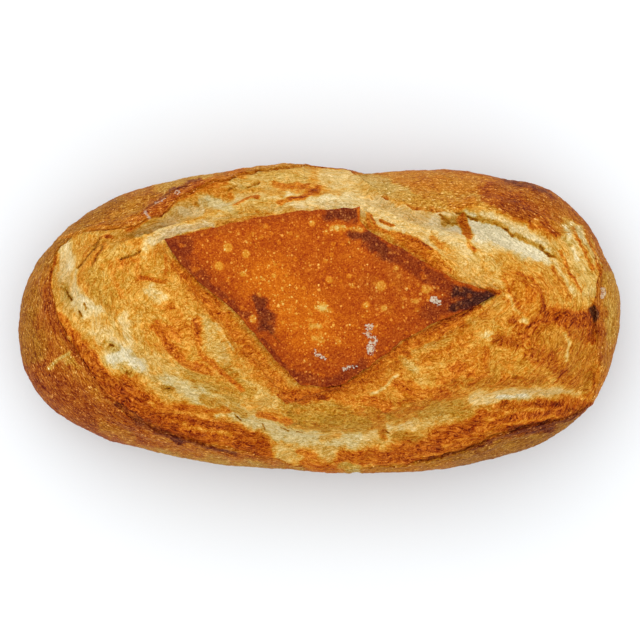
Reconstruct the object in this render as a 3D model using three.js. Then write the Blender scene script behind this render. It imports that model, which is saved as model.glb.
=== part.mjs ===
// A large sourdough batard: an oval hearth loaf with a flat base, slashed with four cuts before baking.
// The cuts left a diamond of smooth crust on the crown. Round it the dough tore open and swelled, and a
// valley of torn crumb runs between that swelling and the lip of the outer crust.
// Millimetres, +Z up, +X along the loaf. The origin is the middle of the base.
import * as THREE from "three";

// Driving dimensions.
const LENGTH = 300;
const WIDTH = 154;
const HEIGHT = 92; // crown of the plain body, without the relief on it
const GIRTH_HEIGHT = 36; // height at which the loaf is widest
const FOOT_SHARE = 0.85; // the flat base against the widest outline
const CROWN_POWER_ACROSS = 2.2; // how full the crown is: 2 is an ellipse
const CROWN_POWER_ALONG = 2.7;

// Relief, as heights above or below the plain body.
const CROWN_RISE = 1.6; // the diamond's middle
const RIM_CURL = 0.5; // the diamond's edge above the crust just inside it
const RIM_DROP = 2.4; // from that edge to the torn band beside it
const BAND_DROP = 2.2; // from the band's edge to the crumb below it
const LIP_ROOT = 2.2; // from the lip's edge to the crumb that it hangs over
const RIM_OVERHANG = 0.7;
const LIP_OVERHANG = 1.8;
const LIP_SPAN = 18; // distance over which the lip's rise dies away on the outer crust
const SWELL_HEIGHT = 1.5; // rolling relief of the torn crumb
const SWELL_LENGTH = 30;

const SEGMENTS = 124; // facets round the loaf
const STEPS_PER_SPAN = 16; // samples of a curve between two of its points

// Outlines seen from above, anticlockwise from the right-hand end: x, y and a height where one applies.
// They are drawn for a loaf of this length and width, and stretched to the size above.
const DRAWN_LENGTH = 300;
const DRAWN_WIDTH = 154;
const WIDEST = [
  [149.5, 9.5], [143, 31.5], [131.5, 50], [113.5, 65.5], [90.5, 71], [55.5, 74], [15.5, 74.5],
  [-12, 77.5], [-34.5, 75.5], [-64.5, 71.5], [-99.5, 61.5], [-126.5, 44.5], [-144.5, 21.5],
  [-150, -3], [-147, -25.5], [-133.5, -44.5], [-109.5, -58.5], [-74.5, -68], [-34.5, -73],
  [5.5, -76], [40.5, -75.5], [75.5, -72], [110.5, -61.5], [134.5, -44], [146, -18],
];
const DIAMOND = [
  [88, 12, 2.2], [68, 19, 2.6], [50.5, 28.5, 2.8], [36.5, 37, 3], [24, 44, 2.6], [21, 49, 2.6],
  [21.5, 55.5, 3.6], [-9.5, 53.5, 3.4], [-34.5, 49.5, 3], [-57, 44.5, 2.8], [-76.5, 39, 2.4],
  [-69.5, 30, 2.2], [-57, 19.5, 2], [-42, 7, 2], [-28.5, -7.5, 2], [-16, -22, 1.8], [-7, -30, 1.8],
  [4.5, -33.5, 1.8], [13, -31, 1.8], [25.5, -22.5, 2], [40.5, -11, 2], [55.5, -2.5, 2], [75.5, 5.5, 2],
];
const BAND = [
  [91.5, 13, 1.6], [81.5, 18, 1.6], [69, 27.5, 1.8], [56.5, 36, 2.2], [50, 41, 2.6], [39.5, 45.5, 2.6],
  [28, 49.5, 2], [23, 56.5, 0.6], [-9.5, 55, 0.4], [-34.5, 51, 0.4], [-57, 46, 0.4], [-79, 39.5, 0.4],
  [-73, 28, 1.2], [-59.5, 10, 2], [-49.5, -2, 2.6], [-41, -14, 2.8], [-30.5, -22.5, 2.6],
  [-22, -34, 2.6], [-15, -42, 2.4], [-1.5, -37.5, 1.6], [20.5, -31.5, 1], [40.5, -20.5, 0.6],
  [60.5, -9.5, 0.6], [82, 2, 0.8],
];
const SWELLING = [
  [112, 5, 3], [100, 22, 1], [75, 37, -0.5], [52, 45.5, -1], [28, 56, -1], [0, 60, -0.5], [-40, 55, 0.5],
  [-80, 44, 2], [-105, 30, 2.4], [-98, 8, 3], [-78, -12, 2.8], [-52, -30, 0.5], [-24, -47, -1],
  [5, -49, 2], [40, -42, 3.2], [75, -30, 3.6], [108, -16, 3.4],
];
const VALLEY = [
  [138, 0, 0], [135.5, 13, -0.5], [126, 26, -2.5], [105.5, 34.5, -5.5], [90.5, 42, -6.5], [73, 48, -7],
  [45, 51, -5], [24, 61, -4], [0, 66, -3.5], [-28.5, 65, -4.5], [-59.5, 56, -6.5], [-84.5, 43.5, -5],
  [-105, 39, -2], [-122.5, 36, -3], [-128.5, 24, -5.5], [-124, 10, -6], [-112, -3, -4.5], [-97, -20, -5],
  [-79.5, -35, -5.5], [-54.5, -46, -6], [-24.5, -57.5, -6.5], [8, -61, -6.5], [40.5, -56, -6],
  [70.5, -45, -5.5], [100.5, -39, -6], [122, -38.5, -5.5], [134, -30, -3], [138.5, -13, -1],
];
const LIP = [
  [137.5, 7.5, 1.5], [142, 22, 1.5], [137, 40, 1], [121, 38, 2.5], [103, 46, 3.8], [80.5, 54.5, 4.2],
  [58, 53.5, 3.2], [36, 60, 2.5], [18, 74, 1.5], [2, 79, 0.5], [-13.5, 76, 1.5], [-34, 74, 3],
  [-56.5, 69, 4], [-71.5, 60, 4.4], [-83, 50, 4], [-100, 45, 3], [-119, 43.5, 1.5], [-132, 34, 0.5],
  [-134.5, 16, 2.4], [-129, -4, 3.4], [-117, -23, 3.4], [-103, -42, 3.4], [-84, -54, 3.8],
  [-59, -62.5, 3.2], [-28, -69, 2], [-9, -74, 1], [0.5, -75.5, 3.2], [9, -75.5, 0.6], [18.5, -75.5, 3.4],
  [28, -74.5, 1], [50, -72, 2.2], [73, -65.5, 3.4], [97, -55.5, 4.2], [121, -51, 3.4], [136.5, -43, 4],
  [140.5, -30, 1.6], [140, -10, 2.4],
];

const clamp = (value, low, high) => Math.min(high, Math.max(low, value));
const mix = (a, b, share) => a + (b - a) * share;
const ease = (share) => share * share * (3 - 2 * share);

// One coordinate of a Catmull-Rom span from b to c.
const spanAt = (a, b, c, d, u) =>
  b + 0.5 * u * (c - a + u * (2 * a - 5 * b + 4 * c - d + u * (3 * (b - c) + d - a)));

// An outline stretched to the loaf's size.
const sized = (points) => points.map(([x, y, height = 0]) =>
  [(x * LENGTH) / DRAWN_LENGTH, (y * WIDTH) / DRAWN_WIDTH, height]);

// A closed outline as a function of the angle: [distance from the middle, height].
// Straight outlines keep their corners.
function ringOf(outline, straight = false) {
  const points = sized(outline);
  const samples = [];
  points.forEach((_, i) => {
    const [a, b, c, d] = [-1, 0, 1, 2].map((k) => points.at((i + k) % points.length));
    for (let s = 0; s < STEPS_PER_SPAN; s++) {
      const u = s / STEPS_PER_SPAN;
      const [x, y, height] = [0, 1, 2].map((k) =>
        straight ? mix(b[k], c[k], u) : spanAt(a[k], b[k], c[k], d[k], u));
      samples.push([Math.atan2(y, x), Math.hypot(x, y), height]);
    }
  });
  samples.sort((p, q) => p[0] - q[0]);
  const first = samples[0];
  const last = samples.at(-1);
  samples.unshift([last[0] - 2 * Math.PI, last[1], last[2]]);
  samples.push([first[0] + 2 * Math.PI, first[1], first[2]]);
  return (angle) => {
    const wrapped = Math.atan2(Math.sin(angle), Math.cos(angle));
    const next = clamp(samples.findIndex((p) => p[0] > wrapped), 1, samples.length - 1);
    const [p, q] = [samples[next - 1], samples[next]];
    const share = (wrapped - p[0]) / Math.max(q[0] - p[0], 1e-9);
    return [mix(p[1], q[1], share), mix(p[2], q[2], share)];
  };
}

const widest = ringOf(WIDEST);
const diamond = ringOf(DIAMOND, true);
const band = ringOf(BAND, true);
const swelling = ringOf(SWELLING);
const valley = ringOf(VALLEY);
const lip = ringOf(LIP);

// The plain body. Going down, t is 0 at the crown, 1 at the girth, 2 at the base's edge, 3 at its middle.
function bodyPoint(angle, t) {
  const reach = widest(angle)[0];
  let share;
  let height;
  if (t <= 1) {
    const power = mix(CROWN_POWER_ACROSS, CROWN_POWER_ALONG, Math.cos(angle) ** 2);
    share = Math.sin((t * Math.PI) / 2);
    height = GIRTH_HEIGHT + (HEIGHT - GIRTH_HEIGHT) * Math.sqrt(Math.max(0, 1 - share ** power));
  } else if (t < 2) {
    const tuck = ((t - 1) * Math.PI) / 2;
    share = FOOT_SHARE + (1 - FOOT_SHARE) * Math.cos(tuck);
    height = GIRTH_HEIGHT * (1 - Math.sin(tuck));
  } else {
    share = FOOT_SHARE * (3 - t);
    height = 0;
  }
  return new THREE.Vector3(reach * share * Math.cos(angle), reach * share * Math.sin(angle), height);
}

function bodyNormal(angle, t) {
  const step = 0.01;
  const at = clamp(t, 0.02, 1.97);
  const along = bodyPoint(angle, at + step).sub(bodyPoint(angle, at - step));
  const round = bodyPoint(angle + step, at).sub(bodyPoint(angle - step, at));
  return along.cross(round).normalize();
}

// Millimetres along the surface for each unit of t, on average from the crown to the girth.
const stretch = (angle) => (Math.PI / 2) * Math.hypot(widest(angle)[0], HEIGHT - GIRTH_HEIGHT) * Math.SQRT1_2;

// t at a distance from the middle seen from above. A point outside the girth lies below it on the side.
function depthOf(angle, radius) {
  const share = radius / widest(angle)[0];
  return share < 1 ? (2 / Math.PI) * Math.asin(share) : 1 + (share - 1) * 4;
}

// Rolling relief of the torn crumb: a few crossed waves, each bent by the one before it.
function swell(x, y) {
  let sum = 0;
  let bend = 0;
  for (let wave = 1; wave <= 5; wave++) {
    const heading = 2.4 * wave;
    const pitch = (2 * Math.PI * (0.7 + 0.25 * wave)) / SWELL_LENGTH;
    bend = Math.sin(pitch * (x * Math.cos(heading) + y * Math.sin(heading)) + 1.3 * wave + 1.7 * bend);
    sum += bend / (0.6 + 0.4 * wave);
  }
  return (sum * SWELL_HEIGHT) / 2.4;
}

// The section from the crown outwards at one angle. Each knot has its t, its height, how far it hangs
// inwards or outwards, its share of the rolling relief, and the number of facets that lead to it.
function sectionAt(angle) {
  const perMm = 1 / stretch(angle);
  const [rimAt, rimHeight] = diamond(angle);
  const [bandAt, bandHeight] = band(angle);
  const [swellAt, swellHeight] = swelling(angle);
  const [valleyAt, valleyHeight] = valley(angle);
  const [lipAt, lipHeight] = lip(angle);
  const rimT = depthOf(angle, rimAt);
  const bandT = Math.max(depthOf(angle, bandAt), rimT + 3 * perMm);
  const lipT = depthOf(angle, lipAt);
  const valleyT = Math.min(depthOf(angle, valleyAt), lipT - 3 * perMm);
  const footT = Math.min(bandT + 0.9 * perMm, valleyT - 2 * perMm);
  const swellT = clamp(depthOf(angle, swellAt), mix(footT, valleyT, 0.3), mix(footT, valleyT, 0.7));
  return [
    { t: 0, height: CROWN_RISE, hang: 0, rough: 0, steps: 1 },
    { t: rimT - 5 * perMm, height: rimHeight, hang: 0, rough: 0, steps: 5 },
    { t: rimT, height: rimHeight + RIM_CURL, hang: -RIM_OVERHANG, rough: 0, steps: 1 },
    { t: rimT + 0.9 * perMm, height: rimHeight - RIM_DROP, hang: 0, rough: 0, steps: 1 },
    { t: Math.min(bandT - 1.2 * perMm, footT - perMm), height: bandHeight, hang: 0, rough: 0.1, steps: 1 },
    { t: footT, height: bandHeight - BAND_DROP, hang: 0, rough: 0.3, steps: 1 },
    { t: swellT, height: swellHeight, hang: 0, rough: 1, steps: 4 },
    { t: valleyT, height: valleyHeight, hang: 0, rough: 0.5, steps: 5 },
    { t: lipT - 0.8 * perMm, height: lipHeight - LIP_ROOT, hang: 0, rough: 0.3, steps: 3 },
    { t: lipT + 0.4 * perMm, height: lipHeight, hang: LIP_OVERHANG, rough: 0, steps: 1 },
    { t: lipT + 6 * perMm, height: lipHeight * 0.75, hang: 0, rough: 0, steps: 1 },
    { t: lipT + LIP_SPAN * perMm, height: 0, hang: 0, rough: 0, steps: 2 },
    { t: 1.94, height: 0, hang: 0, rough: 0, steps: 7 },
    { t: 2, height: 0, hang: 0, rough: 0, steps: 1 },
  ];
}

// Points down one section, from just outside the crown to the edge of the base.
function sectionPoints(angle) {
  const knots = sectionAt(angle);
  const perMm = 1 / stretch(angle);
  const points = [];
  for (let k = 1; k < knots.length; k++) {
    const [from, to] = [knots[k - 1], knots[k]];
    for (let s = 1; s <= to.steps; s++) {
      const share = s / to.steps;
      const t = mix(from.t, to.t, share) - mix(from.hang, to.hang, share) * perMm;
      const point = bodyPoint(angle, t);
      const height = mix(from.height, to.height, ease(share))
        + mix(from.rough, to.rough, share) * swell(point.x, point.y);
      points.push(point.addScaledVector(bodyNormal(angle, t), height));
    }
  }
  return points;
}

// The points of an outline that lie furthest right, left, up and down.
const endsOf = (outline) => [0, 1].flatMap((axis) => {
  const sorted = sized(outline).sort((p, q) => p[axis] - q[axis]);
  return [sorted[0], sorted.at(-1)];
});

// Angles at equal steps along the widest outline, with one moved to each corner of the diamond and its band.
function facetAngles() {
  const outline = sized(WIDEST).map(([x, y]) => new THREE.Vector3(x, y, 0));
  const curve = new THREE.CatmullRomCurve3(outline, true, "catmullrom");
  const angles = curve.getSpacedPoints(SEGMENTS).slice(0, SEGMENTS).map((p) => Math.atan2(p.y, p.x));
  for (const [x, y] of [...endsOf(BAND), ...endsOf(DIAMOND)]) {
    const wanted = Math.atan2(y, x);
    const gaps = angles.map((a) => Math.abs(Math.atan2(Math.sin(a - wanted), Math.cos(a - wanted))));
    angles[gaps.indexOf(Math.min(...gaps))] = wanted;
  }
  return angles;
}

function loafGeometry() {
  const sections = facetAngles().map(sectionPoints);
  const rings = sections[0].length;
  const crown = new THREE.Vector3(0, 0, HEIGHT + CROWN_RISE);
  const vertices = [crown, ...sections.flat(), new THREE.Vector3(0, 0, 0)];
  const at = (segment, ring) => 1 + (segment % SEGMENTS) * rings + ring;
  const foot = vertices.length - 1;
  const faces = [];
  for (let s = 0; s < SEGMENTS; s++) {
    faces.push(0, at(s, 0), at(s + 1, 0));
    for (let r = 0; r + 1 < rings; r++) {
      faces.push(at(s, r), at(s, r + 1), at(s + 1, r + 1));
      faces.push(at(s, r), at(s + 1, r + 1), at(s + 1, r));
    }
    faces.push(at(s, rings - 1), foot, at(s + 1, rings - 1));
  }
  const geometry = new THREE.BufferGeometry().setFromPoints(vertices);
  geometry.setIndex(faces);
  geometry.computeVertexNormals();
  return geometry;
}

const crust = new THREE.MeshStandardMaterial({ color: 0xc07a30, roughness: 0.6, metalness: 0 });

const loaf = new THREE.Mesh(loafGeometry(), crust);
loaf.name = "loaf";

const root = new THREE.Group();
root.add(loaf);

export default root;
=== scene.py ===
import math

import bpy
import numpy as np
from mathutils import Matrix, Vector, kdtree, noise


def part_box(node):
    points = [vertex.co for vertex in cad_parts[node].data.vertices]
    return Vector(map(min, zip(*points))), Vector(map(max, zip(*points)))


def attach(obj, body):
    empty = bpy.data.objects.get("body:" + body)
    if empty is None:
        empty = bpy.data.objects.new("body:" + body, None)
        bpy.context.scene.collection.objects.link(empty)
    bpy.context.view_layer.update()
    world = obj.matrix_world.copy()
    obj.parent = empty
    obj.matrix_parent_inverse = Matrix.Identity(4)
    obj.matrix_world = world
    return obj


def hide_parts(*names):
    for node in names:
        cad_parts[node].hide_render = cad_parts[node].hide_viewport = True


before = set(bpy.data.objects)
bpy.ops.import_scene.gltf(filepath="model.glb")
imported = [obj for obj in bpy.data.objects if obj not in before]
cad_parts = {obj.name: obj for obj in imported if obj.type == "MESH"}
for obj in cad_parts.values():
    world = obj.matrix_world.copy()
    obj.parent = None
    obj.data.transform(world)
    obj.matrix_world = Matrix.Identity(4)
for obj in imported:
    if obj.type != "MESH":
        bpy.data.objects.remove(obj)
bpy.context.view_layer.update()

bl_info = {
    "name": "Sourdough Loaf",
    "version": (1, 0, 0),
    "blender": (4, 5, 0),
    "location": "View3D > Sidebar > Bread",
    "description": "Makes a slashed oval sourdough loaf, its crust and its torn crumb",
    "category": "Mesh",
}

LOAF_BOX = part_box("loaf")
MM = 0.001

# The part's outlines seen from above, anticlockwise from the right-hand end: x, y and height in millimetres.
# They are drawn for a loaf of this length and width, and stretched to the loaf's own.
DRAWN_LENGTH = 299.4
DRAWN_WIDTH = 156.5
WIDEST = [
    (150.3, 10.2), (143, 31.5), (131.5, 50), (113.5, 65.5), (89.5, 70.7), (72, 73.9), (56, 74.6),
    (24.5, 72.6), (15.5, 73.8), (-12, 77), (-34.5, 74.7), (-64.5, 70.8), (-99.5, 61.5), (-126.5, 44.5),
    (-144.5, 21.5),
    (-150, -3), (-147, -25.5), (-133.5, -44.5), (-109.5, -58.5), (-74.5, -68), (-55, -71.8), (-34.9, -73.8),
    (5.5, -76), (41, -76.5), (75.8, -72.4), (111.3, -61.7), (134.5, -44), (147.3, -18.2),
]
DIAMOND = [
    (88, 12, 2.2), (68, 19, 2.6), (50.5, 28.5, 2.8), (36.5, 37, 3), (24, 44, 2.6), (21, 49, 2.6),
    (21.5, 55.5, 3.6), (-9.5, 53.5, 3.4), (-34.5, 49.2, 3), (-57, 43.4, 2.8), (-77, 39, 2.4),
    (-71, 29.5, 2.2), (-60, 18.5, 2), (-44, 6.5, 2), (-30.5, -8.5, 2), (-17.5, -24, 1.8), (-9, -32, 1.8),
    (4.5, -33.5, 1.8), (13, -31, 1.8), (25.5, -22.5, 2), (40.5, -11, 2), (55.5, -2.5, 2), (75.5, 5.5, 2),
]
BAND = [
    (91.5, 13, 1.6), (81.5, 18, 1.6), (69, 27.5, 1.8), (56.5, 36, 2.2), (50, 41, 2.6), (39.5, 45.5, 2.6),
    (28, 49.5, 2), (23, 56.5, 0.6), (-9.5, 55, 0.4), (-34.5, 50.6, 0.4), (-57, 45, 0.4), (-79.5, 39.5, 0.4),
    (-74, 27.5, 1.2), (-61, 10, 2), (-49.5, -2, 2.6), (-41, -14, 2.8), (-30.5, -22.5, 2.6),
    (-22, -34, 2.6), (-15, -42, 2.4), (-1.5, -37.5, 1.6), (20.5, -31.5, 1), (40.5, -20.5, 0.6),
    (60.5, -9.5, 0.6), (82, 2, 0.8),
]
SWELLING = [
    (112, 5, 3), (100, 22, 1), (75, 37, -0.5), (52, 45.5, -1), (28, 56, -1), (0, 60, -0.5), (-40, 55, 0.5),
    (-80, 44, 2), (-105, 30, 2.4), (-98, 8, 3), (-78, -12, 2.8), (-52, -30, 0.5), (-24, -47, -1),
    (5, -49, 2), (40, -42, 3.2), (75, -30, 3.6), (108, -16, 3.4),
]
VALLEY = [
    (138, 0, 0), (135.5, 13, -0.5), (126, 26, -2.5), (105.5, 34.5, -5.5), (90.5, 42, -6.5), (73, 48, -7),
    (45, 51, -4.2), (24, 61, -3), (0, 66, -3.5), (-28.5, 65, -4.5), (-59.5, 56, -6.5), (-84.5, 43.5, -5),
    (-105, 39, -2), (-122.5, 36, -3), (-128.5, 24, -5.5), (-124, 10, -6), (-112, -3, -4.5), (-97, -20, -5),
    (-79.5, -35, -5.5), (-54.5, -46, -6), (-24.5, -57.5, -6.5), (8, -61, -6.5), (40.5, -56, -6),
    (70.5, -45, -5.5), (100.5, -39, -6), (122, -38.5, -5.5), (134, -30, -3), (138.5, -13, -1),
]
LIP = [
    (139, 10, 1.5), (140.5, 27, 1.2), (129.5, 41, 0.8), (117.5, 44.5, 1.5), (104, 49.5, 2.4), (81, 56, 3),
    (58, 53.5, 2.4), (36, 60, 1.2), (18, 73, 0.6), (2, 77.5, 0.5), (-13.5, 76.6, 1.0), (-34, 74, 1.8),
    (-56.5, 68, 3), (-71.5, 60, 4), (-83, 50, 4), (-100, 45, 3), (-119, 43.5, 1.5), (-132, 34, 0.5),
    (-134.5, 16, 2), (-129, -4, 2.8), (-117, -23, 2.8), (-103, -42, 2.6), (-84, -54, 3),
    (-59, -62.5, 2.6), (-28, -69, 1.6), (-9, -74, 1), (0.5, -75.5, 2.6), (9, -75.5, 0.6), (18.5, -75.5, 2.6),
    (28, -74.5, 1), (50, -72, 1.6), (73, -65.5, 2.6), (97, -55.5, 3.4), (121, -50.5, 2.4),
    (134.5, -42.8, 1.5), (140.5, -30, 1.2), (140, -10, 2),
]

# The plain body and the part's own relief on it, in millimetres.
GIRTH_HEIGHT = 36
FOOT_SHARE = 0.85
CROWN_POWER_ACROSS = 2.2
CROWN_POWER_ALONG = 2.7
CROWN_RISE = 1.6
CROWN_TOP = 2.1 # the highest relief on the crown, above the plain body
RIM_CURL = 0.5
RIM_STEP = 0.9 # from the diamond's edge to the crumb beside it, seen from above
BAND_DROP = 2.2
LEAST_BAND = 3 # least width of the band round the diamond
LEAST_WALL = 3 # least width of the slope from the valley up to the lip
LEAST_SLOPE = 2 # least width of the slope from the band out to the valley
ROOT_INSET = 0.8 # from the lip's edge in to the crumb below it
SWELLING_SHARES = (0.3, 0.7) # where the swelling may lie on the way from the band to the valley

# How far the torn crumb lies below the lip: angle in degrees, then millimetres.
LIP_DROPS = [
    (-175, 1.0), (-160, 0.5), (-150, 0.7), (-140, 1.3), (-125, 1.3), (-112, 0.5), (-70, 0.4), (-55, 1.2),
    (-35, 1.6), (-22, 1.0), (-12, 0.5), (0, 1.2), (12, 0.8), (22, 0.4), (60, 0.3), (85, 0.5), (105, 1.6),
    (150, 1.6), (165, 0.9),
]
RIM_OVERHANG = 0.7
LIP_OVERHANG = 0.8 # of the drop
LIP_SPAN = 18
SINK_START = 1.94 # the relief fades out over this stretch of depth, down to the base
SINK_SPAN = 0.2

# The part's own rolling relief: waves, each turned and bent further than the last, finer and lower.
SWELL_HEIGHT = 1.5
SWELL_LENGTH = 30
SWELL_WAVES = 5
SWELL_TURN = 2.4
SWELL_FINER = (0.7, 0.25)
SWELL_LOWER = (0.6, 0.4)
SWELL_PHASE = 1.3
SWELL_BEND = 1.7
SWELL_SUM = 2.4

# The pieces' meshes. Each is closed by hidden rings, which end at this depth and this far below the crown.
SEGMENTS = 900
STEPS_PER_SPAN = 24
HIDDEN_RINGS = 3 # on each stretch that lies inside the loaf
CLOSING_DEPTH = 0.02
DIAMOND_FLOOR = 6
CRUMB_ROOF = 2
CRUMB_FLOOR = 22
CRUST_ROOF = 16

SEEN_STEPS = 4 # rounds of finding the depth that shows at a place in the picture
NORMAL_STEP = 0.01
NORMAL_RANGE = (0.02, 1.97) # depths between which the body's normal is taken
SIDE_SPREAD = 2.5 # the sides are laid out flat beyond the outline, over its reach divided by this
STRAND_STRETCH = 3.2 # how much longer the crumb's threads run round the loaf than across it
STRAND_ANGLE = 0.8 # radians: where the loaf's reach is a middling one

# Noise: where it starts, how far apart two seeds lie in it, and how its octaves fall off and grow finer.
GRAIN_START = (7.3, 0, 0)
GRAIN_STEP = (13.7, 5.1, -3.3)
GRAIN_FALL = 1.0
GRAIN_FINER = 2.0
CREASE_SHARPNESS = 5
LIP_GRAIN = 0.6 # relief that the crumb and the crust share where they meet, in millimetres

# How the edges of the crusts wander: the size of the wandering, how far it goes, and its seed.
RAGGED_RIM = (7, 0.9, 1)
RAGGED_BAND = (8, 1.4, 2)
RAGGED_LIP = (8, 1.6, 3)
EDGE_PARTS = 4 # points on each step of a ring, where the distance to it is measured

# A mark fills this share of its reach wholly, reaches this many half widths, and hides this much below it.
MARK_CORE = 0.4
MARK_REACH = 1.3
MARK_COVER = 0.9
BROAD_STRAY = 2.2 # how far a mark's edge strays, in millimetres
FINE_STRAY = 1.3
THIN_STRAY = 0.15 # share of it for the thinnest mark, which grows by 1 for each STRAY_WIDTH of half width
STRAY_WIDTH = 5
FLOUR_STRAY = 1.1
FLOUR_REACH = 1.6
FLOUR_SEEDS = (51, 52)
MARK_SEED = 36 # the crumb and the crust share it, so that a mark runs on across the lip
SKIN_SEED = 24

# A blister's profile, in shares of its radius: its dome falls from one to the other, and its rim is a ring.
DOME_SPAN = (1.15, 0.55)
DOT_REACH = 1.4
RING_AT = 0.8
RING_SPAN = (0.35, 0.1)
FULL_DOME = 2 # radius from which a dome has its whole height
SMALL_BLISTER_SEED = 11
SMALL_BLISTER_RADIUS = (0.6, 1.2)
SMALL_BLISTER_BOX = ((-74, -32), (86, 54))

# The picture is taken from straight above: its width at the girth and its middle, in millimetres.
FRAME_WIDTH = 320
FRAME_CENTRE = (0.5, -0.5)
CAMERA_DISTANCE = 5.0 # metres
SENSOR = 36
FLOOR_SIZE = 12 # metres
SUN_STRENGTH = 0.5
SUN_SOFTNESS = 60 # degrees
SUN_TILT = (-40, 0, 30)

# How far the light on each surface outshines a picture's white: the rougher it is, the more shade it holds.
CRUMB_LIGHT = 1.26
SKIN_LIGHT = 1.74
CRUST_LIGHT = 1.57

FLECK_STRENGTH = 0.3 # how far a fleck shifts a colour, as a share of white in a picture
PICTURE_GAMMA = 2.2
PICTURE_WHITE = 255
SHINE = 0.05
SPECK_EDGE = 0.12
MIX_COLOURS = (6, 7) # the Mix node's sockets for two colours, and its output for a colour
MIX_RESULT = 2

# Colours as they look in plain light, from palest to darkest: share of the bake, then red, green and blue.
BREAD_WARM = [
    (0.0, (248, 230, 188)), (0.12, (240, 212, 150)), (0.28, (234, 186, 100)), (0.42, (226, 160, 58)),
    (0.56, (214, 130, 28)), (0.7, (192, 96, 8)), (0.84, (152, 60, 4)), (1.0, (88, 30, 6)),
]
BREAD_COOL = [
    (0.0, (232, 218, 178)), (0.12, (218, 196, 136)), (0.28, (202, 168, 84)), (0.42, (188, 140, 42)),
    (0.56, (168, 110, 16)), (0.7, (140, 82, 6)), (0.84, (104, 54, 8)), (1.0, (54, 30, 10)),
]
SKIN_WARM = [
    (0.0, (248, 206, 110)), (0.2, (240, 162, 46)), (0.4, (224, 115, 4)), (0.6, (192, 81, 0)),
    (0.8, (142, 47, 2)), (1.0, (74, 24, 10)),
]
SKIN_COOL = [
    (0.0, (220, 178, 112)), (0.2, (188, 130, 64)), (0.4, (158, 90, 34)), (0.6, (122, 58, 20)),
    (0.8, (80, 34, 18)), (1.0, (32, 16, 14)),
]
# What a mark does to the bread: its bake, its tone from dull yellow-green -1 to orange 1, and its lift in
# millimetres.
FINISHES = {
    "white": (-0.06, -1.0, -0.5), "cream": (0.09, 0.3, -0.4), "pale": (0.18, 0.4, -0.3),
    "straw": (0.28, 0.0, -0.2), "yellow": (0.32, 0.4, -0.1), "khaki": (0.42, -0.35, 0.0),
    "gold": (0.40, 0.2, 0.1), "honey": (0.48, 0.3, 0.1), "amber": (0.53, 0.6, 0.2),
    "toffee": (0.57, 0.05, 0.1), "orange": (0.64, 0.9, 0.3), "brown": (0.66, 0.3, 0.2),
    "ember": (0.72, 0.75, 0.3), "linen": (0.12, -0.5, -0.4), "russet": (0.75, 0.4, 0.0),
    "rust": (0.76, 0.8, 0.3), "tan": (0.40, 0.0, 0.1), "dusty": (0.58, -0.3, 0.0),
    "floury": (0.60, -0.5, 0.0), "dark": (0.84, 0.0, 0.0), "purple": (0.88, 0.1, 0.0),
    # The olive finish is painted shadow by bulges and lips; the hollow one is pale crumb greyed by painted
    # shade.
    "burnt": (0.98, -0.3, 0.0), "olive": (0.47, -0.6, -0.4), "hollow": (0.30, -0.7, -0.5),
    # The crack finish is painted shade in a crack, which is also sunk a little in the relief.
    "crack": (0.72, -0.9, -0.6), "thread": (0.14, -0.1, 0.5),
}
SKIN_FINISHES = {
    "bright": (0.42, 1.0, 0.0), "yellow": (0.20, 0.5, 0.0), "brick": (0.62, 0.6, 0.0),
    "russet": (0.56, 0.5, 0.0), "burgundy": (0.74, -0.2, 0.1), "maroon": (0.76, 0.4, 0.1),
    "black": (0.88, -0.7, 0.2),
}

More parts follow.
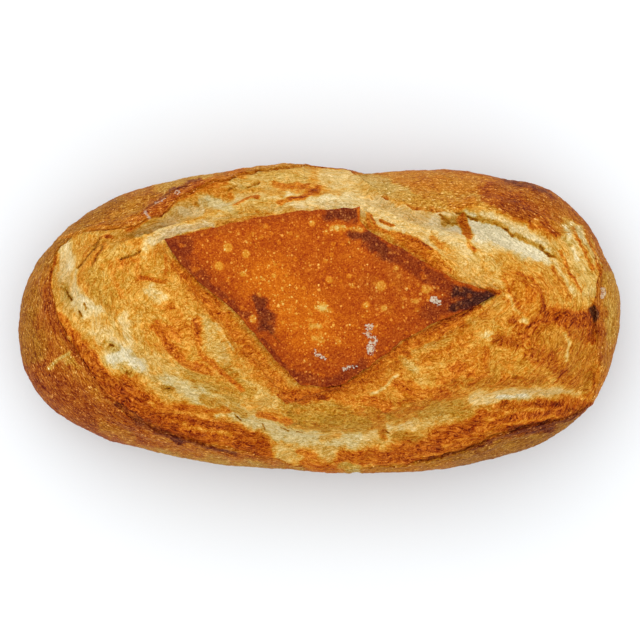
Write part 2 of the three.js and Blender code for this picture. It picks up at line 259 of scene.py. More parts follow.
# Marks in the order they are laid on: a finish, half the mark's width, and the line that it follows.
CRUMB_MARKS = [
    # Left of the diamond
    ("gold", 12, [(-100, 28), (-92, 14), (-88, 2)]),
    ("khaki", 5, [(-113, 22), (-104, 7)]),
    ("gold", 8, [(-120, 37), (-106, 36), (-92, 36)]),
    ("honey", 5, [(-96, 42), (-90, 39.5), (-86, 38)]),
    ("amber", 2.4, [(-90, 38.5), (-82, 37.5)]),
    ("gold", 2.4, [(-104, 43), (-88, 42.5)]),
    ("straw", 6, [(-128, 38), (-128, 22), (-125, 10), (-117, 0)]),
    ("pale", 4.5, [(-127, 30), (-126, 22), (-122, 12)]),
    ("cream", 3, [(-128, 36), (-127, 27)]),
    # The hollow and crack marks here paint the shade in the pits just inside the lip.
    ("hollow", 2.2, [(-127.5, 16), (-125.5, 10)]),
    ("crack", 0.5, [(-127, 14.5), (-126, 11.5)]),
    ("crack", 0.5, [(-125.5, 12), (-124.5, 9.5)]),
    ("yellow", 3, [(-123, 3), (-121, -5)]),
    ("cream", 4.5, [(-119, 9), (-113, 3)]),
    ("crack", 0.4, [(-118, 8), (-116.5, 5)]),
    ("crack", 0.4, [(-120, 4), (-118.5, 1.5)]),
    ("thread", 0.8, [(-121.5, 26), (-121.2, 16), (-121, 5)]),
    ("amber", 1.6, [(-113, 28), (-110, 33), (-107, 37)]),
    ("honey", 2.0, [(-118, 30), (-112, 37)]),
    ("crack", 0.5, [(-121, 26), (-115.5, 32), (-109, 40.5)]),
    ("crack", 0.5, [(-113.5, 26.5), (-111, 31.5), (-108, 36.5)]),
    ("amber", 2, [(-100, 28), (-92, 30.5)]),
    ("crack", 0.6, [(-99, 30), (-92.5, 32.5), (-89.5, 34)]),
    ("rust", 0.9, [(-107, 41), (-104, 41)]),
    ("orange", 1.1, [(-91, 20.5), (-84, 19.5), (-76.5, 19)]),
    ("amber", 1.0, [(-91.5, 31), (-91.5, 19)]),
    ("orange", 1.0, [(-76.5, 32), (-76.5, 20)]),
    ("amber", 1.4, [(-104, 28), (-102, 18), (-98, 12)]),
    ("pale", 3.4, [(-84, 15), (-79, 9)]),
    ("pale", 2.8, [(-97, 1), (-96, -7), (-98, -13)]),
    ("gold", 4, [(-86, 8), (-80, 0)]),
    ("amber", 3.6, [(-76, 6), (-68, -4), (-61, -11)]),
    ("orange", 2.6, [(-80, -3), (-70, -9)]),
    ("amber", 1.6, [(-71, 4), (-66, -4)]),
    ("rust", 1.2, [(-62.5, -1), (-60, -12)]),
    # Valley above the diamond, from the left
    ("straw", 5, [(-88, 44), (-78, 49), (-66, 54)]),
    ("pale", 2.4, [(-82, 44.5), (-72, 50)]),
    ("pale", 3.4, [(-86, 37), (-78, 42), (-72, 45), (-64, 47)]),
    ("cream", 2.2, [(-84, 38.5), (-78, 42), (-72, 45)]),
    ("gold", 4.4, [(-64, 51), (-50, 53), (-38, 54.5)]),
    ("cream", 2.6, [(-76, 43), (-66, 46), (-54, 48.5)]),
    ("straw", 2.6, [(-54, 50.5), (-44, 52), (-34, 53.5)]),
    ("cream", 3, [(-68, 53.5), (-60, 55)]),
    ("amber", 3.4, [(-57, 64.5), (-50, 65), (-44, 62)]),
    ("linen", 3.6, [(-57, 59), (-49, 58), (-43, 56)]),
    ("straw", 5, [(-40, 70), (-20, 71), (-8, 72)]),
    ("pale", 4.5, [(-40, 62), (-28, 62), (-18, 62)]),
    ("hollow", 1.4, [(-39, 65), (-31, 67)]),
    ("crack", 0.6, [(-45.5, 65), (-41, 66.5)]),
    ("crack", 0.5, [(-36, 66.5), (-30, 68)]),
    ("orange", 2.2, [(-22, 67), (-14, 66), (-7, 66)]),
    ("straw", 4, [(-40, 57), (-30, 57.5), (-20, 56)]),
    ("gold", 1.8, [(-42, 64), (-30, 64), (-18, 63)]),
    ("orange", 1.0, [(-42, 57), (-36, 60), (-30, 60)]),
    ("cream", 5, [(-14, 60), (0, 58), (14, 58), (24, 60)]),
    ("orange", 1.8, [(-20, 59), (-8, 61.5), (2, 67)]),
    ("rust", 0.8, [(-14, 60), (-6, 62.5), (1, 66)]),
    ("pale", 6, [(4, 71), (20, 67), (34, 60)]),
    ("pale", 6.4, [(22, 57), (32, 53), (44, 50)]),
    ("pale", 7, [(36, 50), (50, 48), (64, 45)]),
    ("pale", 8, [(58, 38), (70, 33), (82, 26)]),
    ("pale", 10, [(48, 47), (66, 44), (82, 38), (98, 33)]),
    ("cream", 6, [(60, 49), (74, 46), (88, 42.5), (102, 37), (113, 32)]),
    ("white", 5.4, [(72, 48.5), (82, 46), (89, 42)]),
    ("white", 4.6, [(93, 41.5), (102, 38), (111, 33.5)]),
    ("cream", 2.8, [(83, 53), (92, 49.5), (102, 45), (112, 39)]),
    # The olive and crack marks under the shelf paint the shadow that its overhanging lip casts on the crumb.
    ("olive", 2.2, [(63, 50.5), (70, 50)]),
    ("olive", 1.3, [(80, 51.5), (88, 48.5), (94, 45.5)]),
    ("olive", 1.4, [(98, 43), (106, 39), (112, 36)]),
    ("crack", 0.7, [(60.5, 52.5), (65.5, 49.5)]),
    ("crack", 0.7, [(68.5, 53.5), (73, 52.5), (79, 50.5)]),
    ("crack", 0.6, [(93.5, 45.5), (97, 42.5)]),
    ("crack", 0.7, [(110.5, 37.5), (113, 34), (118, 31)]),
    ("rust", 2.6, [(71.5, 50.5), (72.6, 47), (74.5, 42.5)]),
    ("amber", 1.8, [(75, 38), (79, 33), (84, 26)]),
    ("orange", 0.9, [(76, 37), (82, 28)]),
    ("amber", 2, [(57, 41), (64, 35)]),
    # Right of the diamond
    ("honey", 11, [(94, 24), (104, 16), (112, 6)]),
    ("amber", 7, [(98, 12), (104, 6), (108, 14)]),
    ("gold", 3, [(100, 26), (110, 26)]),
    ("rust", 1.2, [(109.5, 15), (112, 8), (113, 2)]),
    ("orange", 1.0, [(92, 19), (96, 10), (103, 1)]),
    ("pale", 0.7, [(94, 12), (97, 5), (102, 1)]),
    ("orange", 0.9, [(98, 22), (106, 20), (110, 14)]),
    ("straw", 7, [(123, 37), (130, 28), (133, 14)]),
    ("cream", 1.3, [(124, 44), (127, 36), (130, 30)]),
    ("yellow", 1.2, [(122, 38), (126, 27), (133, 16)]),
    ("orange", 0.9, [(121, 34), (125, 24), (131, 14)]),
    ("pale", 1.1, [(118, 30), (123, 20), (128, 12)]),
    ("amber", 0.9, [(117, 26), (121, 16), (126, 10)]),
    ("hollow", 1.6, [(124, 40), (126, 38)]),
    ("gold", 3.6, [(122, 11), (128, 10), (134, 9)]),
    ("rust", 5.4, [(114, 1), (124, 0), (135, -1)]),
    ("brown", 7, [(88, -2), (102, -6), (114, -9)]),
    ("rust", 0.7, [(96, -0.5), (104, -4), (114, 0.5)]),
    ("pale", 1.6, [(101, -1), (103.5, -1.5)]),
    ("toffee", 11, [(116, -13), (128, -18), (131, -32)]),
    ("brown", 3.4, [(124, -7), (134, -9)]),
    ("rust", 2.2, [(134, -3), (137, -11)]),
    ("amber", 2.4, [(119, 20), (124, 12)]),
    ("brown", 4, [(104, -16), (116, -22), (124, -30)]),
    ("pale", 0.9, [(122, -7), (125.5, -13), (123, -20)]),
    ("honey", 7, [(88, -22), (98, -28), (108, -30)]),
    ("brown", 3.4, [(89, -10), (97, -13)]),
    ("gold", 4, [(88, 3), (93, -5)]),
    ("cream", 3.4, [(73, -4.5), (80, -4.5), (85, -7)]),
    ("amber", 6, [(60, -12), (72, -16), (78, -24)]),
    ("amber", 4, [(46, -33), (58, -31), (66, -28)]),
    ("orange", 2.8, [(66, -24), (74, -26), (80, -30)]),
    ("orange", 1.8, [(83, -15), (83.5, -24), (82, -32)]),
    # Slope below the diamond, from the right
    ("khaki", 8, [(-14, -44), (4, -46), (18, -47)]),
    # The olive marks on this slope paint the shadow that the bulging crumb casts down into the valley.
    ("olive", 3.4, [(-14, -50), (6, -53)]),
    ("toffee", 8, [(26, -47), (44, -46), (62, -41)]),
    ("amber", 6, [(14, -40), (32, -31), (50, -20), (68, -9), (86, 1)]),
    ("orange", 3.6, [(-12, -38), (0, -36.5), (14, -34.5), (28, -27), (42, -16.5), (56, -8), (70, -2)]),
    ("rust", 1.2, [(4, -35.5), (14, -33)]),
    ("orange", 1.6, [(14, -33), (27, -24.5), (42, -13), (57, -4.5)]),
    ("brown", 1.4, [(57, -4.5), (66, 0), (76, 4)]),
    ("rust", 1.4, [(60, -1.5), (70, 2), (80, 6)]),
    ("gold", 3.4, [(77, -2), (88, -4)]),
    ("gold", 2.4, [(48, -17), (60, -12), (70, -6)]),
    ("gold", 5, [(46, -24), (52, -30), (56, -34)]),
    ("straw", 3, [(42, -22), (48, -25)]),
    ("pale", 0.8, [(24.5, -39), (33, -34.5), (39, -28)]),
    ("orange", 3.4, [(40, -33.5), (50, -36), (63, -38)]),
    ("orange", 2.8, [(24, -40), (29, -43), (34, -45)]),
    ("rust", 1.6, [(-2, -37.5), (4, -39.5)]),
    ("olive", 4.4, [(8, -46.5), (20, -51.5)]),
    ("olive", 4.2, [(27, -48.5), (37, -53)]),
    ("toffee", 2.6, [(27, -46), (33, -53)]),
    ("hollow", 1.8, [(56, -48), (62, -50)]),
    # Valley below the diamond, from the right
    ("yellow", 4, [(134, -41), (116, -37.5), (96, -37), (78, -38)]),
    ("toffee", 3, [(66, -32), (90, -31.5), (112, -30.5)]),
    ("pale", 4, [(133, -41), (116, -38.5), (96, -38), (78, -40)]),
    ("white", 1.6, [(104, -39), (96, -40), (90, -39)]),
    ("khaki", 3, [(58, -44), (74, -43.5)]),
    ("straw", 3, [(71, -48.5), (59, -51.5), (44, -55)]),
    ("khaki", 3, [(52, -47), (73, -47)]),
    ("straw", 5, [(46, -54.5), (32, -58), (18, -60)]),
    ("pale", 3, [(46, -55), (32, -57), (22, -59)]),
    ("linen", 4.6, [(18, -60.5), (6, -60.5), (-10, -59), (-24, -56), (-36, -50), (-47, -42)]),
    ("khaki", 2.4, [(14, -55), (22, -56)]),
    ("olive", 2.6, [(38, -59), (49, -60.5)]),
    ("crack", 0.5, [(31.5, -56), (35, -57)]),
    ("crack", 0.4, [(-28.5, -53), (-27, -56)]),
    ("crack", 0.4, [(-42, -48), (-39, -51)]),
    ("crack", 0.4, [(-19, -55), (-15, -56)]),
    ("crack", 0.4, [(-11, -56.5), (-8, -57)]),
    ("orange", 1.7, [(-30, -48), (-22, -50), (-14, -51.5)]),
    ("gold", 2, [(2, -60.5), (10, -58)]),
    ("straw", 4.4, [(-24, -66), (-10, -68), (8, -69)]),
    ("orange", 2, [(-10, -66.5), (-2, -68.5)]),
    ("ember", 5, [(12, -70), (30, -69.5), (46, -67), (62, -63)]),
    ("toffee", 2.8, [(27, -46), (32, -58)]),
    ("ember", 7, [(134, -44.5), (120, -46.5), (104, -47.5), (90, -50.5), (76, -56), (60, -61)]),
    ("amber", 1.2, [(112, -44), (96, -46), (84, -50)]),
    ("amber", 1.1, [(120, -49), (100, -51), (82, -57), (62, -63)]),
    ("rust", 1.0, [(116, -46.5), (100, -48.5), (84, -54)]),
    ("rust", 2.2, [(78, -52), (70, -56), (64, -58)]),
    ("rust", 1.2, [(119, -42.5), (112, -42.5), (106, -43.5)]),
    ("rust", 1.4, [(88, -43.5), (94, -41.5)]),
    # Low on the left
    ("straw", 8, [(-108, -4), (-102, -14), (-90, -20), (-76, -26), (-62, -34)]),
    ("pale", 5, [(-110, -6), (-104, -12), (-96, -13)]),
    ("khaki", 5, [(-64, -28), (-52, -34), (-42, -39)]),
    ("linen", 5, [(-76, -32), (-62, -38), (-50, -44)]),
    ("white", 5.4, [(-101, -18.5), (-96, -22.5), (-91, -26)]),
    ("rust", 2.6, [(-114, -18), (-109, -25), (-104, -31)]),
    ("orange", 2.4, [(-82, -4), (-74, -14), (-66, -22), (-54, -26)]),
    ("honey", 5, [(-98, -28), (-88, -33), (-80, -38)]),
    ("straw", 2.6, [(-84, -31), (-78, -36), (-70, -41)]),
    ("ember", 7, [(-98, -36), (-86, -44.5), (-72, -51), (-56, -55), (-42, -59), (-30, -64)]),
    ("amber", 1.2, [(-84, -42), (-72, -46.5), (-56, -49)]),
    ("amber", 1.1, [(-78, -50), (-62, -54), (-44, -58)]),
    ("rust", 1.0, [(-80, -47), (-64, -51), (-46, -55)]),
    ("orange", 1.6, [(-80, -44), (-66, -44.5), (-57, -45), (-44, -46)]),
    ("khaki", 2.6, [(-57, -40), (-48, -43)]),
    ("rust", 3, [(-40, -63), (-32, -66), (-25, -68)]),
    # The hollow, crack and olive marks here paint the shade in small pits.
    ("hollow", 2.4, [(-106, -12), (-103, -14)]),
    ("crack", 0.6, [(-105, -12.5), (-103.5, -13.5)]),
    ("hollow", 2, [(-99, -26), (-94, -28)]),
    ("crack", 0.5, [(-96.5, -27), (-94.5, -28)]),
    ("olive", 1.7, [(-77, -34.5), (-74, -35.5)]),
    ("crack", 0.5, [(-76.5, -35), (-75, -35.3)]),
    # The pocket and the band on the diamond's lower left
    ("straw", 4.6, [(-55, -3), (-52, -14), (-44, -26), (-34, -36), (-24, -42)]),
    ("khaki", 3.0, [(-46, -25), (-40, -32), (-34, -37)]),
    ("khaki", 2.0, [(-43, -44.5), (-37, -47.5)]),
    ("cream", 1.8, [(-50, -2), (-46, -8), (-43, -14)]),
    ("orange", 1.3, [(-60, 0), (-61, -10), (-59, -17), (-48, -27), (-38, -35)]),
    ("orange", 4.4, [(-70, 27), (-57, 12), (-46, -2), (-36, -14), (-26, -26), (-17, -37)]),
    ("amber", 1.0, [(-50, -1), (-43, -13), (-31, -26.5), (-21, -36), (-16, -42)]),
    ("amber", 1.5, [(-40, -5), (-29, -16), (-18, -25), (-11, -30.5)]),
    ("ember", 3, [(-18, -38), (-14, -40), (-6, -38)]),
    # The band on the diamond's upper right
    ("orange", 4.2, [(42, 40.5), (52, 34), (64, 26.5)]),
    ("yellow", 4.2, [(64, 32), (71, 26.5), (79, 20.5), (88, 17.5)]),
    ("straw", 4, [(79, 30), (90, 25)]),
    ("orange", 1.6, [(25, 46), (31, 44.5), (38, 43)]),
    ("rust", 0.9, [(26, 51.5), (28, 48)]),
    ("rust", 0.9, [(31, 49.5), (37, 47.5)]),
    ("orange", 1.2, [(24, 53), (25, 47)]),
    ("amber", 1.6, [(52, 37), (60, 32)]),
    ("rust", 1.0, [(40, 43), (50, 38.5), (56, 35)]),
    ("rust", 1.8, [(83.5, 13.5), (89, 13)]),
]
CRUST_MARKS = [
    ("toffee", 14, [(-104, 58), (-75, 68), (-45, 76)]),
    ("tan", 5, [(-78, 66.5), (-66, 70), (-54, 74)]),
    ("toffee", 8, [(-147, 10), (-140, 28), (-128, 44)]),
    ("russet", 12, [(-141, -26), (-134, -38), (-118, -50), (-98, -58)]),
    ("khaki", 6, [(-90, -69), (-62, -74), (-30, -77), (0, -80), (40, -79), (64, -76)]),
    ("floury", 8, [(66, -74), (85, -70), (110, -62), (126, -54)]),
    ("toffee", 7, [(146, 24), (149, 4), (148, -16), (145, -28)]),
    ("tan", 3.4, [(146, 22), (147, 6), (147, -8)]),
    ("toffee", 3, [(20, -76.5), (44, -76.5), (66, -73)]),
    ("tan", 3.2, [(-125, -21), (-120.5, -21)]),
    ("straw", 0.9, [(-135, -25), (-129, -19.5), (-122, -15)]),
    ("tan", 3, [(-132, 38), (-123, 47.5)]),
    ("dusty", 8, [(-147, 14), (-147, -4), (-143, -16)]),
    ("dusty", 6, [(-139, 28), (-124, 47), (-104, 59)]),
    ("toffee", 3.6, [(-108, -54), (-94, -60)]),
    ("dark", 2.2, [(58, 74.5), (72, 73), (90, 69.5), (105, 66.5), (113, 63), (120, 56.5)]),
    ("russet", 2.6, [(-137, 14), (-134, 4), (-129.5, -6), (-124, -12)]),
    ("russet", 4, [(-82, 56), (-78, 54)]),
    ("dark", 1.4, [(-86, 54), (-72, 64.5), (-60, 69.5)]),
]
EDGE_MARKS = [
    # The shelf on the upper right
    ("amber", 9, [(38, 73), (52, 69.5), (68, 67), (84, 64)]),
    ("straw", 4.4, [(24, 68), (34, 64.5), (44, 61.5)]),
    ("gold", 4, [(38, 61), (58, 59), (70, 59), (82, 58.5), (95, 53.5), (108, 48), (119, 42.5)]),
    ("rust", 6, [(86, 63), (98, 58), (110, 51)]),
    ("amber", 4, [(111, 48), (119, 44)]),
    ("russet", 3.6, [(92, 56.5), (100, 54), (105, 51.5)]),
    ("rust", 1.6, [(112, 49), (119, 42)]),
    ("honey", 2.4, [(54, 62), (66, 59)]),
    ("amber", 2.6, [(66, 58), (77, 58)]),
    ("brown", 3.6, [(120, 58), (130, 50), (138, 40)]),
    ("brown", 3.4, [(88, 66), (104, 63), (114, 59)]),
    ("cream", 4, [(126, 45), (130, 42), (134, 36)]),
    ("straw", 3, [(135, 35), (138, 28)]),
    ("gold", 1.2, [(123, 50), (129, 41), (134, 33)]),
    ("orange", 0.9, [(127, 46), (131, 37), (137, 25)]),
    ("pale", 1.1, [(130, 47), (136, 38), (139.5, 29)]),
    ("orange", 0.8, [(133, 44), (138, 34), (141, 22)]),
    # The ridge on the upper left, and the lip at its left end
    ("orange", 2.8, [(-95, 46), (-82, 54), (-66, 64.5), (-51, 69.5), (-36, 75)]),
    ("honey", 2.0, [(-34, 75.5), (-19.5, 77.5), (-7, 77.5)]),
    ("ember", 1.2, [(-90, 49.5), (-74, 60.5), (-58, 68.5)]),
    ("amber", 1.0, [(-130, 40), (-112, 46), (-96, 46)]),
    # The lip on the left and the crease below it
    ("orange", 2.6, [(-129, 2), (-126, -5), (-118, -13)]),
    ("gold", 1.4, [(-131, 32), (-132.5, 18), (-129, 5)]),
    ("russet", 0.7, [(-132, 31), (-135, 15), (-130.5, 0), (-126, -8)]),
    ("russet", 4, [(-123, -14), (-113, -26), (-102, -34)]),
    ("rust", 3.4, [(-100, -38), (-90, -45), (-74, -54), (-58, -60)]),
    ("russet", 1.3, [(-121, -14), (-116, -25), (-110, -32), (-101, -43)]),
    # These dark and purple lines are the lip's darker baked edge and, below it, painted shade on the lip's
    # underside.
    ("dark", 1.7, [(-101, -43), (-94, -47), (-88, -51)]),
    ("purple", 2.2, [(-90, -50.5), (-80, -56), (-69, -60.5)]),
    ("dark", 1.0, [(-70, -60), (-56, -64), (-42, -67)]),
    # The bottom, and the lip on the lower right
    ("orange", 4, [(-5, -73), (4, -76), (9, -75)]),
    ("hollow", 2.4, [(11, -73), (19, -76)]),
    ("russet", 3, [(122, -48), (130, -47), (136, -43)]),
    # The purple and dark lines along this lip are its darker baked edge and painted shade on its underside.
    ("purple", 3, [(94, -56.5), (104, -54.5), (116, -53)]),
    ("dark", 2.4, [(76, -64), (86, -60), (94, -57)]),
    ("dark", 1.1, [(116, -53), (126, -49.5), (134, -45)]),
    ("brown", 2.6, [(66, -64.5), (80, -60), (92, -56)]),
    ("dark", 0.9, [(50, -71), (64, -68), (78, -63)]),
    # The right-hand end
    ("burnt", 2.7, [(137, 5), (138, 1.5)]),
    # These two marks paint the shadow line that runs down from the fold at the right-hand end.
    ("russet", 2.0, [(138, -3), (139.5, -9)]),
    ("brown", 1.4, [(139.5, -9), (141, -22)]),
    ("amber", 3.4, [(142, -29), (140, -36), (135, -41)]),
    ("russet", 0.5, [(137, -27), (137.5, -34), (133, -41)]),
    ("rust", 1.4, [(131, -42.5), (136.5, -43.5)]),
]
SKIN_MARKS = [
    ("bright", 13, [(-26, 20), (-14, 8), (-4, -4)]),
    ("russet", 16, [(34, 18), (52, 12), (66, 10)]),
    ("brick", 6, [(-70, 33), (-58, 22), (-44, 8), (-30, -8), (-18, -20), (-6, -28)]),
    ("brick", 6, [(12, -28), (26, -19), (40, -8), (54, 0), (68, 6)]),
    ("brick", 2.6, [(-74, 38), (-57, 43), (-36, 48.5), (-16, 51.5), (2, 53)]),
    ("brick", 8, [(-4, -24), (10, -23)]),
    ("maroon", 5, [(-75, 37.5), (-67, 37)]),
    ("maroon", 3.4, [(-74, 35), (-66, 26), (-56, 18)]),
    ("maroon", 2.2, [(-56, 17), (-46, 10), (-36, 1)]),
    ("burgundy", 4.2, [(-31, 9), (-28, 3), (-26, -4)]),
    ("brick", 3, [(-28, -8), (-19, -20), (-12, -27)]),
    ("maroon", 1.2, [(-29, -9), (-20, -21), (-12, -28)]),
    ("maroon", 3.6, [(-13, -29), (-4, -31), (4, -31), (12, -29), (22, -23)]),
    ("burgundy", 3.6, [(6, 52), (12, 52.5), (17.5, 52)]),
    ("bright", 1.6, [(20.5, 53.5), (21, 49)]),
    ("yellow", 1.7, [(7, 45), (20, 45)]),
    ("burgundy", 2.4, [(17, 42.5), (23, 42)]),
    ("burgundy", 3.6, [(24, 40), (31, 34), (38, 31)]),
    ("maroon", 4.6, [(38, 33), (44, 28), (54, 21.5), (64, 16.5)]),
    ("maroon", 5, [(56, 3), (66, 8), (74, 10)]),
    ("black", 3.4, [(68, 14), (77, 11), (85, 11.5)]),
    ("black", 2.4, [(67, 5.5), (75, 7.5), (83, 10)]),
    ("yellow", 1.6, [(-1, 6), (5, 4)]),
    ("yellow", 1.4, [(-4, -3), (1, -4)]),
    ("yellow", 1.3, [(-3, -10), (2, -11)]),
]

# Where the crumb is raised or sunk on its own account: millimetres, half the width, and the line it follows.
LIFTS = [
    (1.8, 12, [(97, 17), (104, 8)]), (1.2, 8, [(120, 0), (132, -2)]), (1.4, 11, [(66, -18), (80, -26)]),
    (1.0, 12, [(100, -12), (118, -20)]), (0.8, 7, [(-86, 32), (-84, 26)]), (1.2, 6, [(-72, -14), (-56, -27)]),
    (-1.6, 5, [(-46, -13), (-41, -26)]), (-1.2, 5, [(-100, -18), (-90, -26)]), (1.0, 3, [(116, 5), (135, 8)]),
]

# Blisters on the diamond: x, y and radius, in millimetres.
BLISTERS = [
    (-50, 26.5, 2.5), (-36.5, 32.5, 2.3), (-45.5, 35.5, 2.6), (-38, 22.5, 1.6), (-62, 24.5, 1.6),
    (-73.5, 32, 1.4), (-69, 36.5, 1.3), (-26.5, 46.5, 1.5), (-3.5, 47.5, 1.8), (3.5, 43, 1.2),
    (7, 37.5, 1.2), (5, 19.5, 2.0),
    (15, 21.5, 1.5), (31, 16.5, 2.9), (23.5, 7, 2.0), (2, 6.5, 2.2), (32.5, 5.5, 1.8), (38.5, 25.5, 1.5),
    (48.5, 9, 1.6), (53.5, 15, 2.6), (52.5, 21, 1.5), (47, 9, 1.2), (49, 4.5, 1.2), (71, 14.5, 1.3),
    (75, 11.5, 1.5), (-33, 0, 2.2), (-12, 30, 1.3), (-20, 38, 1.2), (-30, 12, 1.4), (10, -12, 1.5),
]
FLOUR_MARKS = [
    (1.7, [(25.5, -4), (24.5, -8)]), (1.9, [(27, -11), (25.5, -16)]), (1.1, [(-1, -17), (2, -19)]),
    (0.6, [(12, -25), (19, -23.5)]), (1.5, [(57, 9.5), (59, 8.5)]),
]
CRUST_FLOUR = [
    (1.0, [(-87, 53), (-85, 50.5)]), (0.6, [(-82, 58), (-77, 59.5)]), (0.5, [(-72, 62.5), (-70, 64)]),
    (1.2, [(142.5, 15), (142, 11)]),
]


def clamp(value, low, high):
    return np.minimum(high, np.maximum(low, value))


def mix(a, b, share):
    return a + (b - a) * share


def ease(share):
    return share * share * (3 - 2 * share)


def between(value, low, high):
    return ease(clamp((value - low) / (high - low), 0, 1))


def sized(outline):
    """An outline stretched to the loaf's own length and width."""
    low, high = LOAF_BOX
    along = (high.x - low.x) / MM / DRAWN_LENGTH
    across = (high.y - low.y) / MM / DRAWN_WIDTH
    rows = [(x * along, y * across, *rest) for x, y, *rest in outline]
    return np.array([row if len(row) == 3 else (*row, 0.0) for row in rows])


def curve_of(outline, straight=False):
    """Closely spaced points round a closed outline: Catmull-Rom, or straight between its corners."""
    b = sized(outline)[:, None, :]
    a, c, d = (np.roll(b, -k, axis=0) for k in (-1, 1, 2))
    u = (np.arange(STEPS_PER_SPAN) / STEPS_PER_SPAN)[None, :, None]
    if straight:
        return mix(b, c, u).reshape(-1, 3)
    bend = c - a + u * (2 * a - 5 * b + 4 * c - d + u * (3 * (b - c) + d - a))
    return (b + 0.5 * u * bend).reshape(-1, 3)


def ring_of(curve):
    """A closed curve as a function of the angle: its distance from the middle and its height."""
    angles = np.arctan2(curve[:, 1], curve[:, 0])
    order = np.argsort(angles)
    radius = np.hypot(curve[:, 0], curve[:, 1])[order]
    height = curve[order, 2]
    angles = angles[order]
    turn = 2 * math.pi

    def at(angle):
        return np.interp(angle, angles, radius, period=turn), np.interp(angle, angles, height, period=turn)

    return at


class Body:
    """The loaf before its relief. Its depth t is 0 at the crown, 1 at the girth and 2 to 3 over the base."""

    def __init__(self, height, rim_height):
        self.height = height
        self.rim_height = rim_height
        self.reach = ring_of(curve_of(WIDEST))

    def point(self, angle, t):
        reach = self.reach(angle)[0]
        power = mix(CROWN_POWER_ACROSS, CROWN_POWER_ALONG, np.cos(angle) ** 2)
        top = np.sin(clamp(t, 0, 1) * math.pi / 2)
        crown = GIRTH_HEIGHT + (self.height - GIRTH_HEIGHT) * np.sqrt(clamp(1 - top ** power, 0, 1))
        tuck = clamp(t - 1, 0, 1) * math.pi / 2
        side = FOOT_SHARE + (1 - FOOT_SHARE) * np.cos(tuck)
        share = np.where(t <= 1, top, np.where(t < 2, side, FOOT_SHARE * (3 - t)))
        z = np.where(t <= 1, crown, np.where(t < 2, GIRTH_HEIGHT * (1 - np.sin(tuck)), 0))
        return np.stack([reach * share * np.cos(angle), reach * share * np.sin(angle), z], -1)

    def normal(self, angle, t):
        at = clamp(t, *NORMAL_RANGE)
        down = self.point(angle, at + NORMAL_STEP) - self.point(angle, at - NORMAL_STEP)
        round_it = self.point(angle + NORMAL_STEP, at) - self.point(angle - NORMAL_STEP, at)
        cross = np.cross(down, round_it)
        return cross / np.linalg.norm(cross, axis=-1, keepdims=True)

    def stretch(self, angle):
        """Millimetres along the surface for each unit of t, on average from the crown to the girth."""
        return math.pi / 2 * np.hypot(self.reach(angle)[0], self.height - GIRTH_HEIGHT) / math.sqrt(2)

    def depth_of(self, angle, radius):
        share = radius / self.reach(angle)[0]
        return np.where(share < 1, 2 / math.pi * np.arcsin(clamp(share, 0, 1)), 1 + (share - 1) * SIDE_SPREAD)

    def seen_depth(self, angle, radius, height):
        """The depth at which a point raised by height is seen at this radius from above."""
        at = radius
        for _ in range(SEEN_STEPS):
            t = self.depth_of(angle, at)
            at = at + radius - np.hypot(*self.plan(angle, t, height).T)
        return self.depth_of(angle, at)

    def plan(self, angle, t, height):
        """Where a raised point is seen from above. The sides below the girth are laid out flat beyond it."""
        share = np.where(t < 1, np.sin(clamp(t, 0, 1) * math.pi / 2), 1 + (t - 1) / SIDE_SPREAD)
        radius = self.reach(angle)[0] * share
        normal = self.normal(angle, t)
        z = self.point(angle, t)[..., 2] + normal[..., 2] * height
        nearness = (CAMERA_DISTANCE / MM - GIRTH_HEIGHT) / (CAMERA_DISTANCE / MM - z)
        flat = np.stack([radius * np.cos(angle), radius * np.sin(angle)], -1)
        return (flat + normal[..., :2] * height[..., None]) * nearness[..., None]


def swell(x, y):
    """The part's own rolling relief of the torn crumb: crossed waves, each bent by the one before it."""
    total = 0
    bend = 0
    for wave in range(1, SWELL_WAVES + 1):
        heading = SWELL_TURN * wave
        pitch = 2 * math.pi * (SWELL_FINER[0] + SWELL_FINER[1] * wave) / SWELL_LENGTH
        along = x * math.cos(heading) + y * math.sin(heading)
        bend = np.sin(pitch * along + SWELL_PHASE * wave + SWELL_BEND * bend)
        total = total + bend / (SWELL_LOWER[0] + SWELL_LOWER[1] * wave)
    return total * SWELL_HEIGHT / SWELL_SUM


def grain(points, size, octaves=3, seed=0):
    """Smooth noise of about -1 to 1, whose largest lumps are size millimetres apart."""
    shift = Vector([start + step * seed for start, step in zip(GRAIN_START, GRAIN_STEP)])
    flat = points.reshape(-1, 3)
    values = [noise.fractal(Vector(p) / size + shift, GRAIN_FALL, GRAIN_FINER, octaves) for p in flat]
    return np.array(values).reshape(points.shape[:-1])


def creases(points, size, octaves=2, seed=0):
    """Thin winding lines, 1 on the line and falling to 0 beside it, about size millimetres apart."""
    return clamp(1 - CREASE_SHARPNESS * np.abs(grain(points, size, octaves, seed)), 0, 1)


def line_weight(plan, line, width):
    """1 on a line of points, falling smoothly to 0 at width from it, in plan."""
    line = np.array(line, float)
    weight = np.zeros(len(plan))
    low = line.min(axis=0) - width
    high = line.max(axis=0) + width
    near = np.flatnonzero(((plan > low) & (plan < high)).all(axis=1))
    if len(near):
        points = plan[near]
        nearest = np.full(len(near), np.inf)
        for a, b in zip(line[:-1], line[1:]):
            along = b - a
            share = clamp((points - a) @ along / (along @ along), 0, 1)
            nearest = np.minimum(nearest, np.hypot(*(points - a - share[:, None] * along).T))
        weight[near] = between(nearest, width, MARK_CORE * width)
    return weight


def edge_distance(plan, edge):
    """The distance in plan from each point to a closed ring of points."""
    after = np.roll(edge, -1, axis=0)
    close = np.concatenate([mix(edge, after, part / EDGE_PARTS) for part in range(EDGE_PARTS)])
    tree = kdtree.KDTree(len(close))
    for index, (x, y) in enumerate(close):
        tree.insert((x, y, 0), index)
    tree.balance()
    return np.array([tree.find((x, y, 0))[2] for x, y in plan])


